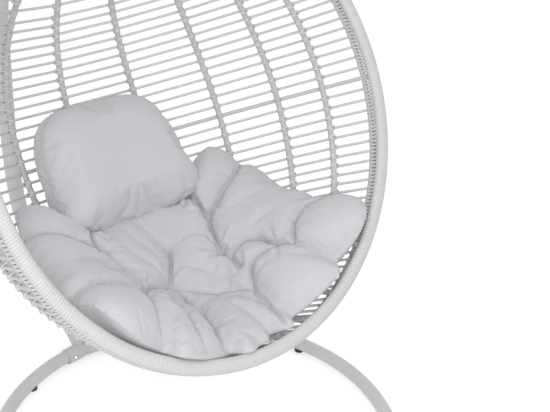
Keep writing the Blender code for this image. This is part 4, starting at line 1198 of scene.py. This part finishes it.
for vert in pillow.data.vertices:
    back = behind_pillow(vert.co.x, vert.co.z) - pillow_stand(vert.co.z) - vert.co.y
    seam = 1.0 - smooth((abs(back - PILLOW_THICK / 2) - SEAM_HALF) / SEAM_FADE)
    under = 1.0 - smooth((back - UNDER_HOLD) / UNDER_FADE)
    pillow_held.append(max(under, SEAM_HOLD * seam))
    pillow_flat.append((vert.co.x, vert.co.z))
cloth_map(pillow, pillow_flat)
stuffed(pillow, pillow_held, PILLOW_PRESSURE, PILLOW_SLACK, PILLOW_MOST_MOVE)
pillow.data.shade_smooth()
pillow.data.materials.append(pale_cloth)
hung(pillow, "back_cushion")

# Studio: a plain pale floor, with soft light from above and from beside the camera.
# The camera stands to the left of the chair's front, a little above it.
FLOOR_GREY = (0.88, 0.88, 0.88)
FLOOR_LIFT = 0.42
WORLD_LIGHT = 0.66
VIEW_DISTANCE = 2.185
VIEW_TURN = math.radians(40.76)
VIEW_DROP = math.radians(20.12)


def seen_straight(tree):
    """One for rays of the camera, also through glass or by a mirror, and nothing for the rest."""
    ray = add(tree, "ShaderNodeLightPath").outputs
    first = calc(tree, "MAXIMUM", ray["Is Camera Ray"], ray["Is Glossy Ray"])
    return calc(tree, "MAXIMUM", first, ray["Is Transmission Ray"])


floor_mesh = bpy.data.meshes.new("floor")
floor_mesh.from_pydata([(-9, -9, 0), (9, -9, 0), (9, 9, 0), (-9, 9, 0)], [], [(0, 1, 2, 3)])
floor = placed("floor", floor_mesh)
floor_paint, floor_tree, floor_shader = plain_finish("pale_floor", FLOOR_GREY, 0.9)
floor_glow = calc(floor_tree, "MULTIPLY", seen_straight(floor_tree), FLOOR_LIFT)
floor_shader.inputs["Emission Color"].default_value = (1.0, 1.0, 1.0, 1.0)
floor_tree.links.new(floor_glow, floor_shader.inputs["Emission Strength"])
floor_mesh.materials.append(floor_paint)

world = bpy.data.worlds.new("studio")
bpy.context.scene.world = world
world.use_nodes = True
sky = world.node_tree.nodes["Background"]
sky.inputs["Color"].default_value = (1.0, 1.0, 1.0, 1.0)
sky_level = add(world.node_tree, "ShaderNodeMapRange",
                {"Value": seen_straight(world.node_tree), "To Min": WORLD_LIGHT, "To Max": 1.0})
world.node_tree.links.new(sky_level.outputs["Result"], sky.inputs["Strength"])


def soft_light(name, spot, target, size, power):
    data = bpy.data.lights.new(name, "AREA")
    data.size = size
    data.energy = power
    lamp = placed(name, data)
    lamp.location = spot
    lamp.rotation_euler = (Vector(target) - Vector(spot)).to_track_quat("-Z", "Y").to_euler()


soft_light("top_light", (-0.5, -0.8, 3.4), (0, -0.1, 0.6), 2.2, 15)
soft_light("front_light", (-1.6, -2.2, 1.8), (0, -0.1, 0.7), 0.9, 37)

camera_data = bpy.data.cameras.new("camera")
camera_data.sensor_width = 36.0
camera_data.lens = 66.33
camera_data.shift_x = 0.1224
camera_data.shift_y = -0.1691
camera = placed("camera", camera_data)
view_way = Vector((math.sin(VIEW_TURN) * math.cos(VIEW_DROP), math.cos(VIEW_TURN) * math.cos(VIEW_DROP),
                   -math.sin(VIEW_DROP)))
camera.location = rim_place.translation - view_way * VIEW_DISTANCE
camera.rotation_euler = view_way.to_track_quat("-Z", "Y").to_euler()
bpy.context.scene.camera = camera
bpy.context.scene.view_settings.view_transform = "Standard"
